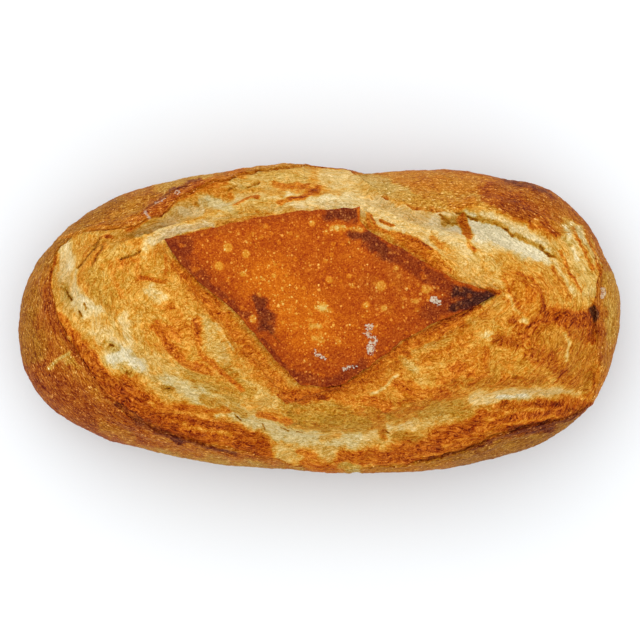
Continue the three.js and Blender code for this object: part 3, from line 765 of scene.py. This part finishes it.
def ragged(ring, angles, size, amount, seed):
    """A ring whose edge wanders in and out, as torn crust does."""
    radius, height = ring(angles)
    points = np.stack([radius * np.cos(angles), radius * np.sin(angles), 0 * angles], -1)
    return radius + amount * grain(points, size, 4, seed), height


def edges_of(body, angles):
    """The depths and heights of the loaf's feature lines, from the diamond's rim out to the lip."""
    per_mm = 1 / body.stretch(angles)
    rim_at, rim_height = ragged(ring_of(curve_of(DIAMOND, True)), angles, *RAGGED_RIM)
    band_at, band_height = ragged(ring_of(curve_of(BAND, True)), angles, *RAGGED_BAND)
    swell_at, swell_height = ring_of(curve_of(SWELLING))(angles)
    valley_at, valley_height = ring_of(curve_of(VALLEY))(angles)
    lip_at, lip_height = ragged(ring_of(curve_of(LIP)), angles, *RAGGED_LIP)
    drop = np.interp(np.degrees(angles), *zip(*LIP_DROPS), period=360)
    rim = body.seen_depth(angles, rim_at, rim_height + RIM_CURL)
    band = np.maximum(body.seen_depth(angles, band_at, band_height), rim + LEAST_BAND * per_mm)
    lip = body.seen_depth(angles, lip_at, lip_height)
    valley = np.minimum(body.seen_depth(angles, valley_at, valley_height), lip - LEAST_WALL * per_mm)
    foot = np.minimum(band + RIM_STEP * per_mm, valley - LEAST_SLOPE * per_mm)
    swelling = body.seen_depth(angles, swell_at, swell_height)
    swelling = clamp(swelling, *(mix(foot, valley, share) for share in SWELLING_SHARES))
    return {
        "rim": (rim, rim_height), "band": (band, band_height), "foot": (foot, band_height - BAND_DROP),
        "swelling": (swelling, swell_height), "valley": (valley, valley_height), "lip": (lip, lip_height),
        "root": (lip - ROOT_INSET * per_mm, lip_height - drop, drop),
    }


def rings_between(knots, per_mm):
    """Every ring's depth, height and share of rolling relief.

    A knot is the depth, the height, the overhang in millimetres, the share, and the rings that lead to it.
    """
    rows = []
    for (t0, height0, hang0, rough0, _), (t1, height1, hang1, rough1, steps) in zip(knots, knots[1:]):
        for step in range(1, steps + 1):
            share = step / steps
            t = mix(t0, t1, share) - mix(hang0, hang1, share) * per_mm
            rows.append((t, mix(height0, height1, ease(share)), mix(rough0, rough1, share) + 0 * t))
    return (np.stack([row[k] for row in rows]) for k in range(3))


def facet_angles():
    """Angles at equal steps along the widest outline."""
    curve = curve_of(WIDEST)[:, :2]
    closed = np.vstack([curve, curve[:1]])
    along = np.concatenate([[0], np.cumsum(np.hypot(*np.diff(closed, axis=0).T))])
    at = np.arange(SEGMENTS) / SEGMENTS * along[-1]
    points = np.stack([np.interp(at, along, closed[:, k]) for k in (0, 1)], -1)
    return np.arctan2(points[:, 1], points[:, 0])


def strands_of(body, t, height):
    """Places for threads: stretched round the loaf, and in millimetres across it and up its slopes."""
    turn = np.arange(SEGMENTS) / SEGMENTS * 2 * math.pi
    radius = (LOAF_BOX[1].x - LOAF_BOX[0].x + LOAF_BOX[1].y - LOAF_BOX[0].y) / 4 / MM / STRAND_STRETCH
    out = np.diff(t, axis=0, prepend=t[:1]) * body.stretch(STRAND_ANGLE)
    up = np.diff(height, axis=0, prepend=height[:1])
    across = np.cumsum(np.hypot(out, up), axis=0)
    return np.stack([radius * np.cos(turn) + 0 * t, radius * np.sin(turn) + 0 * t, across], -1)


def stray(points, seed):
    """How far the edge of a mark strays: a broad wandering and a finer fray."""
    return BROAD_STRAY * grain(points, 7, 2, seed) + FINE_STRAY * grain(points, 2.2, 3, seed + 1)


def marked(plan, base, finishes, marks, seed):
    """Bake, tone and lift after the marks are laid on, their edges made ragged."""
    flat = np.column_stack([plan, 0 * plan[:, 0]])
    drift = np.stack([stray(flat, seed), stray(flat, seed + 2)], -1)
    layers = np.column_stack([np.full(len(plan), value) if np.isscalar(value) else value for value in base])
    for finish, width, line in marks:
        strayed = plan + drift * min(1, THIN_STRAY + width / STRAY_WIDTH)
        weight = line_weight(strayed, line, width * MARK_REACH)[:, None]
        layers[:, :2] = mix(layers[:, :2], np.array(finishes[finish][:2]), MARK_COVER * weight)
        layers[:, 2] += finishes[finish][2] * weight[:, 0]
    return layers.T


def dotted(plan, dots):
    """Domes and their rims, for dots given as x, y and radius."""
    dome = np.zeros(len(plan))
    rim = np.zeros(len(plan))
    for x, y, radius in dots:
        near = np.flatnonzero((np.abs(plan - (x, y)) < radius * DOT_REACH).all(axis=1))
        away = np.hypot(*(plan[near] - (x, y)).T) / radius
        dome[near] = np.maximum(dome[near], between(away, *DOME_SPAN) * min(1, radius / FULL_DOME))
        rim[near] = np.maximum(rim[near], between(np.abs(away - RING_AT), *RING_SPAN))
    return dome, rim


def small_blisters(count):
    draw = np.random.default_rng(SMALL_BLISTER_SEED)
    return [(*draw.uniform(*SMALL_BLISTER_BOX), draw.uniform(*SMALL_BLISTER_RADIUS)) for _ in range(count)]


def flour_of(plan, marks):
    flat = np.column_stack([plan, 0 * plan[:, 0]])
    ragged_plan = plan + np.stack([FLOUR_STRAY * grain(flat, 2, 3, seed) for seed in FLOUR_SEEDS], -1)
    return np.max([line_weight(ragged_plan, line, FLOUR_REACH * width) for width, line in marks], axis=0)


class Shell:
    """One closed piece of the loaf: visible rings, and hidden ones that close it inside the loaf."""

    def __init__(self, body, angles, knots):
        self.body = body
        self.angles = angles
        self.t, self.height, self.rough = rings_between(knots, 1 / body.stretch(angles))
        wide = np.broadcast_to(angles, self.t.shape)
        self.base = body.point(wide, self.t)
        self.normal = body.normal(wide, self.t)
        self.plan = body.plan(wide, self.t, self.height).reshape(-1, 2)
        self.strands = strands_of(body, self.t, self.height)
        self.fields = {}

    def flat(self, values):
        return values.reshape(self.t.shape)

    def raised(self, relief):
        """Points lifted off the body by the knots' heights, the rolling relief and a relief of their own."""
        fade = ease(clamp((SINK_START - self.t) / SINK_SPAN, 0, 1))
        lift = self.height + self.rough * swell(self.base[..., 0], self.base[..., 1]) + relief
        points = self.base + self.normal * (lift * fade)[..., None]
        points[..., 2] = np.maximum(points[..., 2], 0)
        return points


def closed_mesh(name, first, grid, last, fields):
    """A closed mesh: a fan round its first point, rings, and a fan round its last point."""
    rings, segments = grid.shape[:2]
    vertices = np.vstack([[first], grid.reshape(-1, 3), [last]]) * MM
    s = np.arange(segments)
    after = (s + 1) % segments
    at = 1 + np.arange(rings)[:, None] * segments
    top = np.stack([0 * s, at[0] + s, at[0] + after], -1)
    low = np.stack([at[-1] + s, 0 * s + len(vertices) - 1, at[-1] + after], -1)
    quads = np.stack([at[:-1] + s, at[1:] + s, at[1:] + after, at[:-1] + after], -1).reshape(-1, 4)
    mesh = bpy.data.meshes.new(name)
    corners = np.concatenate([top.ravel(), low.ravel(), quads.ravel()])
    sizes = np.concatenate([np.full(2 * segments, 3), np.full(len(quads), 4)])
    mesh.vertices.add(len(vertices))
    mesh.vertices.foreach_set("co", vertices.astype(np.float32).ravel())
    mesh.loops.add(len(corners))
    mesh.loops.foreach_set("vertex_index", corners.astype(np.int32))
    mesh.polygons.add(len(sizes))
    mesh.polygons.foreach_set("loop_start", (np.cumsum(sizes) - sizes).astype(np.int32))
    mesh.update(calc_edges=True)
    mesh.polygons.foreach_set("use_smooth", np.ones(len(sizes), bool))
    for field, values in fields.items():
        rows = values.reshape(rings * segments, -1)
        full = np.vstack([rows[:1], rows, rows[-1:]]).astype(np.float32)
        if full.shape[1] == 1:
            mesh.attributes.new(field, "FLOAT", "POINT").data.foreach_set("value", full.ravel())
        else:
            mesh.attributes.new(field, "FLOAT_VECTOR", "POINT").data.foreach_set("vector", full.ravel())
    return mesh


def diamond_mesh(body, angles, edges, blisters):
    """The raised diamond of smooth crust, a slab with blisters and a curled rim."""
    per_mm = 1 / body.stretch(angles)
    zero = 0 * angles
    rim, height = edges["rim"]
    shell = Shell(body, angles, [
        (zero, zero + CROWN_RISE, 0, 0, 1), # crown
        (zero + 0.12, zero + CROWN_RISE, 0, 0, 14), # cap of the crown
        (rim - 5 * per_mm, mix(height, zero + CROWN_RISE, 0.15), 0, 0, 70), # out to the curl
        (rim - 0.8 * per_mm, height + 0.7 * RIM_CURL, 0, 0, 8), # up the curl
        (rim, height + RIM_CURL, -RIM_OVERHANG, 0, 3), # edge, which hangs over
        (rim + RIM_STEP * per_mm, height + RIM_CURL - body.rim_height, 0, 0, 5), # down to the crumb
        (rim - 4 * per_mm, zero - 5, 0, 0, 2), # under the slab
        (zero + CLOSING_DEPTH, zero - DIAMOND_FLOOR, 0, 0, HIDDEN_RINGS), # closed inside
    ])
    inside = edge_distance(shell.plan, body.plan(angles, rim, height + RIM_CURL))
    dome, ring = dotted(shell.plan, BLISTERS + small_blisters(blisters))
    lumps = grain(shell.base, 11, 3, 21)
    fine = grain(shell.base, 2.4, 3, 22)
    bake = 0.56 + 0.08 * between(inside, 4, 0.3) + 0.03 * lumps.ravel()
    bake, tone, lift = marked(shell.plan, (bake, 0.85, 0), SKIN_FINISHES, SKIN_MARKS, SKIN_SEED)
    # Every relief is in millimetres.
    relief = 0.5 * lumps + 0.16 * fine + shell.flat(0.45 * dome + 0.12 * ring + 0.3 * lift)
    points = shell.raised(relief)
    fields = {"bake": bake, "tone": tone, "blister": dome, "blister_rim": ring,
              "flour": flour_of(shell.plan, FLOUR_MARKS)}
    first = (0, 0, body.height + CROWN_RISE)
    last = (0, 0, body.height - DIAMOND_FLOOR)
    return closed_mesh("diamond_crust", first, points, last, fields)


def crumb_mesh(body, angles, edges):
    """The torn crumb between the diamond and the lip, with its threads, cracks and swellings."""
    per_mm = 1 / body.stretch(angles)
    zero = 0 * angles
    rim, rim_height = edges["rim"]
    foot, foot_height = edges["foot"]
    root, root_height, _ = edges["root"]
    band, band_height = edges["band"]
    shell = Shell(body, angles, [
        (zero + CLOSING_DEPTH, zero - CRUMB_ROOF, 0, 0, 1), # closed inside
        (rim - 3 * per_mm, rim_height + RIM_CURL - body.rim_height - CRUMB_ROOF, 0, 0, HIDDEN_RINGS),
        (rim + RIM_STEP * per_mm, rim_height + RIM_CURL - body.rim_height, 0, 0, 2), # foot of the diamond
        (np.minimum(band - 1.2 * per_mm, foot - per_mm), band_height, 0, 0.1, 12), # band
        (foot, foot_height, 0, 0.3, 6), # foot of the band
        (edges["swelling"][0], edges["swelling"][1], 0, 1, 28),
        (edges["valley"][0], edges["valley"][1], 0, 0.5, 28),
        (root, root_height, 0, 0.3, 22), # up to the lip
        (root - 4 * per_mm, zero - 18, 0, 0, 2), # under the lip
        (zero + CLOSING_DEPTH, zero - CRUMB_FLOOR, 0, 0, HIDDEN_RINGS), # closed inside
    ])
    threads = grain(shell.strands, 5, 4, 31)
    folds = creases(shell.strands, 6, 3, 32)
    curls = creases(shell.base, 4.5, 3, 33)
    lumps = grain(shell.base, 9, 3, 34)
    fine = grain(shell.base, 1.7, 2, 35)
    bake, tone, lift = marked(shell.plan, (0.43, 0.35, 0), FINISHES, CRUMB_MARKS + EDGE_MARKS, MARK_SEED)
    lift = lift + sum(amount * line_weight(shell.plan, line, width) for amount, width, line in LIFTS)
    visible = np.ones(shell.t.shape)
    visible[:1 + HIDDEN_RINGS] = 0
    visible[-2 - HIDDEN_RINGS:] = 0
    relief = 0.35 * threads - 0.4 * folds + 0.3 * curls + 0.6 * lumps + 0.16 * fine + shell.flat(lift)
    relief = mix(LIP_GRAIN * lumps, relief, between((root - shell.t) / per_mm, 0, 4))
    points = shell.raised(relief * visible)
    high = (0.3 * threads - 0.4 * folds + 0.5 * lumps).ravel()
    fields = {"bake": bake + 0.10 * high, "tone": tone + 0.2 * high, "curl": curls, "fold": folds,
              "strand": shell.strands}
    first = (0, 0, body.height - CRUMB_ROOF)
    last = (0, 0, body.height - CRUMB_FLOOR)
    return closed_mesh("torn_crumb", first, points, last, fields)


def crust_mesh(body, angles, edges):
    """The outer crust, from under its torn lip over the sides and across the flat base."""
    per_mm = 1 / body.stretch(angles)
    zero = 0 * angles
    lip, lip_height = edges["lip"]
    root, root_height, drop = edges["root"]
    shell = Shell(body, angles, [
        (zero + CLOSING_DEPTH, zero - CRUST_ROOF, 0, 0, 1), # closed inside
        (root - per_mm, zero - CRUST_ROOF, 0, 0, HIDDEN_RINGS),
        (root, root_height, 0, 0.3, 2), # under the lip
        (lip + 0.4 * per_mm, lip_height, LIP_OVERHANG * drop, 0.2, 8), # edge of the lip
        (lip + 6 * per_mm, lip_height * 0.75, 0, 0, 10), # back of the lip
        (lip + LIP_SPAN * per_mm, zero, 0, 0, 16), # plain crust
        (zero + SINK_START, zero, 0, 0, 50), # down the side
        (zero + 2, zero, 0, 0, 3), # edge of the base
        (zero + 2.97, zero, 0, 0, 5), # in to its middle
    ])
    side = between(shell.t.ravel(), 1.0, 1.3)
    base = (0.63 + 0.03 * side, 0.35 - 0.4 * side, 0)
    bake, tone, lift = marked(shell.plan, base, FINISHES, CRUST_MARKS + EDGE_MARKS, MARK_SEED)
    lumps = grain(shell.base, 9, 3, 34)
    broad = grain(shell.base, 14, 3, 45)
    fine = grain(shell.base, 2.2, 3, 46)
    wrinkles = creases(shell.strands, 5, 3, 47)
    relief = 0.6 * broad + 0.25 * fine - 0.25 * wrinkles + shell.flat(lift)
    relief = mix(LIP_GRAIN * lumps, relief, between((shell.t - root) / per_mm, 0, 5))
    relief[:1 + HIDDEN_RINGS] = 0
    points = shell.raised(relief)
    fields = {"bake": bake + 0.04 * broad.ravel(), "tone": tone, "flour": flour_of(shell.plan, CRUST_FLOUR),
              "side": side, "strand": shell.strands}
    return closed_mesh("outer_crust", (0, 0, body.height - CRUST_ROOF), points, (0, 0, 0), fields)


class Maths:
    """A number in a shader. Python's operators on it add Math nodes."""

    def __init__(self, recipe, socket):
        self.recipe = recipe
        self.socket = socket

    def made(self, operation, *values):
        return self.recipe.number(self.recipe.node("ShaderNodeMath", {"operation": operation}, *values))

    def __add__(self, other):
        return self.made("ADD", self, other)

    def __radd__(self, other):
        return self.made("ADD", other, self)

    def __sub__(self, other):
        return self.made("SUBTRACT", self, other)

    def __rsub__(self, other):
        return self.made("SUBTRACT", other, self)

    def __mul__(self, other):
        return self.made("MULTIPLY", self, other)

    def __rmul__(self, other):
        return self.made("MULTIPLY", other, self)

    def __abs__(self):
        return self.made("ABSOLUTE", self)

    def between(self, low, high):
        """0 at low, 1 at high, and smooth in between."""
        if low > high:
            return 1 - self.between(high, low)
        settings = {"interpolation_type": "SMOOTHSTEP"}
        return self.recipe.number(self.recipe.node("ShaderNodeMapRange", settings, self, low, high, 0, 1))


def light_of(part):
    """The light that a part of white in a picture stands for, by the rule that pictures keep to, sRGB."""
    return part / 12.92 if part < 0.04045 else ((part + 0.055) / 1.055) ** 2.4


class Recipe:
    """A material and the one way of adding nodes to it. Its textures are sized in millimetres."""

    def __init__(self, name, light):
        self.light = light
        self.material = bpy.data.materials.new(name)
        self.material.use_nodes = True
        self.tree = self.material.node_tree
        self.shader = self.tree.nodes["Principled BSDF"]
        self.shader.inputs["Specular IOR Level"].default_value = SHINE
        coordinates = self.node("ShaderNodeTexCoord").outputs["Object"]
        settings = {"operation": "SCALE"}
        self.place = self.node("ShaderNodeVectorMath", settings, coordinates, Scale=1 / MM).outputs[0]

    def node(self, kind, settings=None, *values, **named):
        """Adds a node, sets it up, then fills its sockets with values or links, in order or by name."""
        node = self.tree.nodes.new(kind)
        for key, value in (settings or {}).items():
            if key == "stops":
                self.fill_ramp(node.color_ramp, value)
            else:
                setattr(node, key, value)
        for socket, value in zip(node.inputs, values):
            self.fill(socket, value)
        for key, value in named.items():
            self.fill(node.inputs[key], value)
        return node

    def fill(self, socket, value):
        value = value.socket if isinstance(value, Maths) else value
        if isinstance(value, bpy.types.NodeSocket):
            self.tree.links.new(value, socket)
        elif value is not None:
            socket.default_value = value

    def fill_ramp(self, ramp, stops):
        while len(ramp.elements) < len(stops):
            ramp.elements.new(1)
        for element, (place, colour) in zip(ramp.elements, stops):
            element.position = place
            element.color = self.paint(colour)

    def paint(self, colour):
        """A colour as it looks in a picture, as the shader's own numbers under the light on this surface."""
        return (*(light_of(part / PICTURE_WHITE) / self.light for part in colour), 1)

    def number(self, node, output=0):
        return Maths(self, node.outputs[output])

    def field(self, name):
        return self.number(self.node("ShaderNodeAttribute", {"attribute_name": name}), "Fac")

    def vector(self, name):
        return self.node("ShaderNodeAttribute", {"attribute_name": name}).outputs["Vector"]

    def noise(self, place, size, detail=3, roughness=0.55, bend=0.0):
        """Noise of about 0.3 to 0.7, whose lumps are size millimetres apart, taken about its middle."""
        settings = {"noise_dimensions": "3D", "noise_type": "FBM", "normalize": True}
        named = {"Scale": 1 / size, "Detail": detail, "Roughness": roughness, "Distortion": bend}
        return self.number(self.node("ShaderNodeTexNoise", settings, Vector=place, **named)) - 0.5

    def wound(self, place, size, reach):
        """Places pushed about, so that threads laid out on them wind and curl."""
        named = {"Vector": place, "Scale": 1 / size, "Detail": 1}
        push = self.node("ShaderNodeTexNoise", {"noise_dimensions": "3D"}, **named).outputs["Color"]
        settings = {"operation": "MULTIPLY_ADD"}
        return self.node("ShaderNodeVectorMath", settings, push, (reach,) * 3, place).outputs[0]

    def lines(self, place, size, width, bend=1.0):
        """Thin winding lines about size millimetres apart, 1 on the line and 0 beside it."""
        return abs(self.noise(place, size, 2, 0.55, bend)).between(width, 0.0)

    def specks(self, place, size, share, reach):
        """Round specks, one in each cell of size millimetres, of which a share is there."""
        settings = {"voronoi_dimensions": "3D", "feature": "F1"}
        node = self.node("ShaderNodeTexVoronoi", settings, Vector=place, Scale=1 / size)
        chance = self.number(self.node("ShaderNodeSeparateColor", None, node.outputs["Color"]))
        there = chance.between(1 - share, 1)
        return (self.number(node, "Distance") - there * reach).between(0.0, -SPECK_EDGE)

    def blend(self, share, first, second):
        """A colour between two colours."""
        node = self.node("ShaderNodeMix", {"data_type": "RGBA"})
        for socket, value in zip((0, *MIX_COLOURS), (share, first, second)):
            self.fill(node.inputs[socket], value)
        return node.outputs[MIX_RESULT]

    def flecked(self, colour, amount):
        """A colour made lighter or darker as a picture shows it: red, green and blue by the same step."""
        seen = self.node("ShaderNodeGamma", None, colour, 1 / PICTURE_GAMMA).outputs[0]
        step = amount * FLECK_STRENGTH
        shifted = self.node("ShaderNodeVectorMath", {"operation": "ADD"}, seen, step.socket).outputs[0]
        held = self.node("ShaderNodeVectorMath", {"operation": "MAXIMUM"}, shifted, (0, 0, 0)).outputs[0]
        return self.node("ShaderNodeGamma", None, held, PICTURE_GAMMA).outputs[0]

    def baked(self, bake, tone, warm, cool):
        """The colour of a bake and a tone."""
        pair = [self.node("ShaderNodeValToRGB", {"stops": stops}, bake).outputs[0] for stops in (cool, warm)]
        return self.blend((tone * 0.5 + 0.5).between(0, 1), *pair)

    def finish(self, colour, roughness, height, depth, strength):
        self.fill(self.shader.inputs["Base Color"], colour)
        self.fill(self.shader.inputs["Roughness"], roughness)
        bump = self.node("ShaderNodeBump", None, strength, depth * MM, Height=height).outputs[0]
        self.fill(self.shader.inputs["Normal"], bump)
        return self.material


def crumb_material():
    """Torn crumb: pale in its hollows, golden to orange where it stood out, full of threads, with painted
    shade in its thin gaps.
    """
    recipe = Recipe("torn_crumb", CRUMB_LIGHT)
    strand = recipe.vector("strand")
    winding = recipe.wound(strand, 5, 9)
    lumps = recipe.noise(strand, 4, 3)
    threads = recipe.noise(winding, 1.6, 4, 0.55)
    tears = recipe.noise(recipe.place, 2.2, 4, 0.55, 1.4)
    lace = recipe.lines(winding, 1.7, 0.09, 0.8) + recipe.lines(strand, 2.2, 0.07, 1.6)
    # The gaps are thin sunken lines, and their darkening of the colour is painted shade in the crumb's fine
    # cracks.
    gaps = recipe.lines(winding, 2.2, 0.07, 0.6) + recipe.lines(recipe.place, 3.2, 0.06, 1.8)
    singed = recipe.lines(winding, 4.0, 0.07, 1.0)
    flecks = recipe.noise(winding, 0.7, 2, 0.6)
    bake = recipe.field("bake")
    change = lumps * 0.26 + threads * 0.22 + tears * 0.12 + gaps * 0.06 - lace * 0.03 + singed * 0.14
    change = change - recipe.field("curl") * 0.06 + recipe.field("fold") * 0.08
    bake = bake + change * (bake * 0.6 + 0.5)
    tone = recipe.field("tone") + recipe.noise(recipe.place, 5.5, 2) * 0.8 + singed * 0.4
    colour = recipe.baked(bake, tone, BREAD_WARM, BREAD_COOL)
    colour = recipe.flecked(colour, lace * 0.20 - gaps * 0.28 - tears * 0.25 - threads * 0.15 + flecks * 0.5)
    height = threads * 0.8 + tears * 0.5 + lace * 0.2 - gaps * 0.25
    return recipe.finish(colour, 0.62 + tears * 0.4, height, 1.0, 0.6)


def diamond_material(flour_colour):
    """Smooth crust, orange to burgundy, with blisters, specks and flour."""
    recipe = Recipe("diamond_crust", SKIN_LIGHT)
    lumps = recipe.noise(recipe.place, 7, 3)
    mottle = recipe.noise(recipe.place, 1.9, 4, 0.68, 0.7)
    pores = recipe.noise(recipe.place, 0.75, 2, 0.7)
    specks = recipe.specks(recipe.place, 2.2, 0.7, 0.36) + recipe.specks(recipe.place, 3.6, 0.5, 0.3)
    dots = recipe.specks(recipe.place, 1.2, 0.8, 0.4)
    blister = recipe.field("blister")
    ring = recipe.field("blister_rim")
    bake = recipe.field("bake") + lumps * 0.36 + mottle * 0.34
    bake = bake - specks * 0.24 - dots * 0.16 - blister * 0.30 - ring * 0.07
    tone = recipe.field("tone") + lumps * 1.0 - specks * 0.2
    colour = recipe.baked(bake, tone, SKIN_WARM, SKIN_COOL)
    colour = recipe.flecked(colour, pores * 1.6 + dots * 0.24 + specks * 0.20 - mottle * 0.4)
    flour = (recipe.field("flour") * (mottle * 4.0 + pores * 4.0 + 0.85)).between(0.5, 0.8)
    colour = recipe.blend(flour * 0.75, colour, recipe.paint(part * PICTURE_WHITE for part in flour_colour))
    height = mottle * 0.6 + specks * 0.4 + dots * 0.25 + flour * 0.4
    return recipe.finish(colour, 0.46 + mottle * 0.3 + flour * 0.4, height, 0.7, 0.7)


def crust_material(flour_colour):
    """Outer crust: speckled brown, darkest on its torn lip, floured tan low on the sides."""
    recipe = Recipe("outer_crust", CRUST_LIGHT)
    strand = recipe.vector("strand")
    lumps = recipe.noise(recipe.place, 7, 4, 0.6)
    mottle = recipe.noise(strand, 1.5, 4, 0.7, 0.6)
    pores = recipe.noise(recipe.place, 0.8, 2, 0.7)
    streaks = recipe.noise(strand, 0.7, 2, 0.7)
    specks = recipe.specks(strand, 0.9, 0.6, 0.42) + recipe.specks(recipe.place, 1.6, 0.5, 0.36)
    gaps = recipe.lines(strand, 2.4, 0.06, 1.0)
    side = recipe.field("side")
    bake = recipe.field("bake") + lumps * 0.26 + mottle * 0.24 - specks * 0.12 + gaps * 0.06
    tone = recipe.field("tone") + lumps * 0.8
    colour = recipe.baked(bake, tone, BREAD_WARM, BREAD_COOL)
    colour = recipe.flecked(colour, pores * 1.8 + streaks * 2.0 + specks * 0.5 - mottle * 0.5 - gaps * 0.3)
    flour = (recipe.field("flour") * (mottle * 2.0 + pores * 3.0 + 0.95)).between(0.5, 0.9) * 0.5
    dust = (side * 0.35 + mottle * 0.8 + pores * 0.8).between(0.3, 0.9) * 0.34
    colour = recipe.blend(flour + dust, colour, recipe.paint(part * PICTURE_WHITE for part in flour_colour))
    height = mottle * 0.9 + pores * 0.3 + specks * 0.25
    return recipe.finish(colour, 0.6 + mottle * 0.3, height, 0.8, 0.8)


class BREAD_PG_loaf(bpy.types.PropertyGroup):
    """Sizes and colours of the loaf"""
    crown_height: bpy.props.FloatProperty(
        name="Crown height", description="Height of the plain body, before the diamond rises on it",
        default=LOAF_BOX[1].z - CROWN_TOP * MM, min=0.05, max=0.2, unit="LENGTH")
    rim_height: bpy.props.FloatProperty(
        name="Rim height", description="How far the diamond's rim stands above the crumb beside it",
        default=2.0 * MM, min=0.5 * MM, max=5 * MM, unit="LENGTH")
    blisters: bpy.props.IntProperty(
        name="Small blisters", description="How many small blisters are scattered over the diamond",
        default=260, min=0, max=1000)
    flour_colour: bpy.props.FloatVectorProperty(
        name="Flour", description="Colour of the flour on the crust, as it looks in a picture",
        default=(0.965, 0.918, 0.808), min=0, max=1, size=3, subtype="COLOR_GAMMA")
    floor_colour: bpy.props.FloatVectorProperty(
        name="Floor", description="Colour of the floor under the loaf",
        default=(0.705, 0.73, 0.75), min=0, max=1, size=3, subtype="COLOR")
    daylight: bpy.props.FloatProperty(
        name="Daylight", description="Strength of the soft light from all sides", default=1.45, min=0, max=10)


def place_piece(context, mesh, material):
    """Puts a piece of the loaf in the scene, in place of the plain solid."""
    piece = bpy.data.objects.new(mesh.name, mesh)
    mesh.materials.append(material)
    context.scene.collection.objects.link(piece)
    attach(piece, "root")
    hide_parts("loaf")


def loaf_plan(context):
    """The plain body, the angles of its segments and its feature lines."""
    sizes = context.scene.bread_loaf
    body = Body(sizes.crown_height / MM, sizes.rim_height / MM)
    angles = facet_angles()
    return body, angles, edges_of(body, angles)


class BREAD_OT_diamond(bpy.types.Operator):
    """Makes the raised diamond of smooth crust on the crown"""
    bl_idname = "bread.diamond"
    bl_label = "Diamond"

    def execute(self, context):
        settings = context.scene.bread_loaf
        mesh = diamond_mesh(*loaf_plan(context), settings.blisters)
        place_piece(context, mesh, diamond_material(settings.flour_colour))
        return {"FINISHED"}


class BREAD_OT_crumb(bpy.types.Operator):
    """Makes the torn crumb round the diamond"""
    bl_idname = "bread.crumb"
    bl_label = "Torn crumb"

    def execute(self, context):
        place_piece(context, crumb_mesh(*loaf_plan(context)), crumb_material())
        return {"FINISHED"}


class BREAD_OT_crust(bpy.types.Operator):
    """Makes the outer crust with its torn lip, its sides and its flat base"""
    bl_idname = "bread.crust"
    bl_label = "Outer crust"

    def execute(self, context):
        material = crust_material(context.scene.bread_loaf.flour_colour)
        place_piece(context, crust_mesh(*loaf_plan(context)), material)
        return {"FINISHED"}


class BREAD_OT_stage(bpy.types.Operator):
    """Makes the white floor, the soft light and the camera above the loaf"""
    bl_idname = "bread.stage"
    bl_label = "Stage"

    def execute(self, context):
        scene = context.scene
        bpy.ops.mesh.primitive_plane_add(size=FLOOR_SIZE)
        floor = context.object
        floor.name = "floor"
        white = bpy.data.materials.new("white_floor")
        white.use_nodes = True
        shader = white.node_tree.nodes["Principled BSDF"]
        shader.inputs["Base Color"].default_value = (*scene.bread_loaf.floor_colour, 1)
        shader.inputs["Roughness"].default_value = 1
        shader.inputs["Specular IOR Level"].default_value = 0
        floor.data.materials.append(white)
        world = bpy.data.worlds.new("daylight")
        world.use_nodes = True
        world.node_tree.nodes["Background"].inputs["Color"].default_value = (1, 1, 1, 1)
        world.node_tree.nodes["Background"].inputs["Strength"].default_value = scene.bread_loaf.daylight
        scene.world = world
        sun = bpy.data.lights.new("window", "SUN")
        sun.energy = SUN_STRENGTH
        sun.angle = math.radians(SUN_SOFTNESS)
        window = bpy.data.objects.new("window", sun)
        window.rotation_euler = [math.radians(turn) for turn in SUN_TILT]
        scene.collection.objects.link(window)
        camera = bpy.data.cameras.new("camera")
        camera.lens = SENSOR * (CAMERA_DISTANCE - GIRTH_HEIGHT * MM) / (FRAME_WIDTH * MM)
        camera.sensor_width = SENSOR
        eye = bpy.data.objects.new("camera", camera)
        eye.location = (FRAME_CENTRE[0] * MM, FRAME_CENTRE[1] * MM, CAMERA_DISTANCE)
        scene.collection.objects.link(eye)
        scene.camera = eye
        scene.view_settings.view_transform = "Standard"
        return {"FINISHED"}


class BREAD_PT_panel(bpy.types.Panel):
    """Lists the loaf's pieces"""
    bl_label = "Sourdough loaf"
    bl_space_type = "VIEW_3D"
    bl_region_type = "UI"
    bl_category = "Bread"

    def draw(self, context):
        for name in BREAD_PG_loaf.__annotations__:
            self.layout.prop(context.scene.bread_loaf, name)
        for operator in OPERATORS:
            self.layout.operator(operator.bl_idname)


OPERATORS = (BREAD_OT_diamond, BREAD_OT_crumb, BREAD_OT_crust, BREAD_OT_stage)
CLASSES = (BREAD_PG_loaf, *OPERATORS, BREAD_PT_panel)


def register():
    for cls in CLASSES:
        bpy.utils.register_class(cls)
    bpy.types.Scene.bread_loaf = bpy.props.PointerProperty(type=BREAD_PG_loaf)


def unregister():
    del bpy.types.Scene.bread_loaf
    for cls in reversed(CLASSES):
        bpy.utils.unregister_class(cls)


def main():
    register()
    bpy.ops.bread.diamond()
    bpy.ops.bread.crumb()
    bpy.ops.bread.crust()
    bpy.ops.bread.stage()


if __name__ == "__main__":
    main()
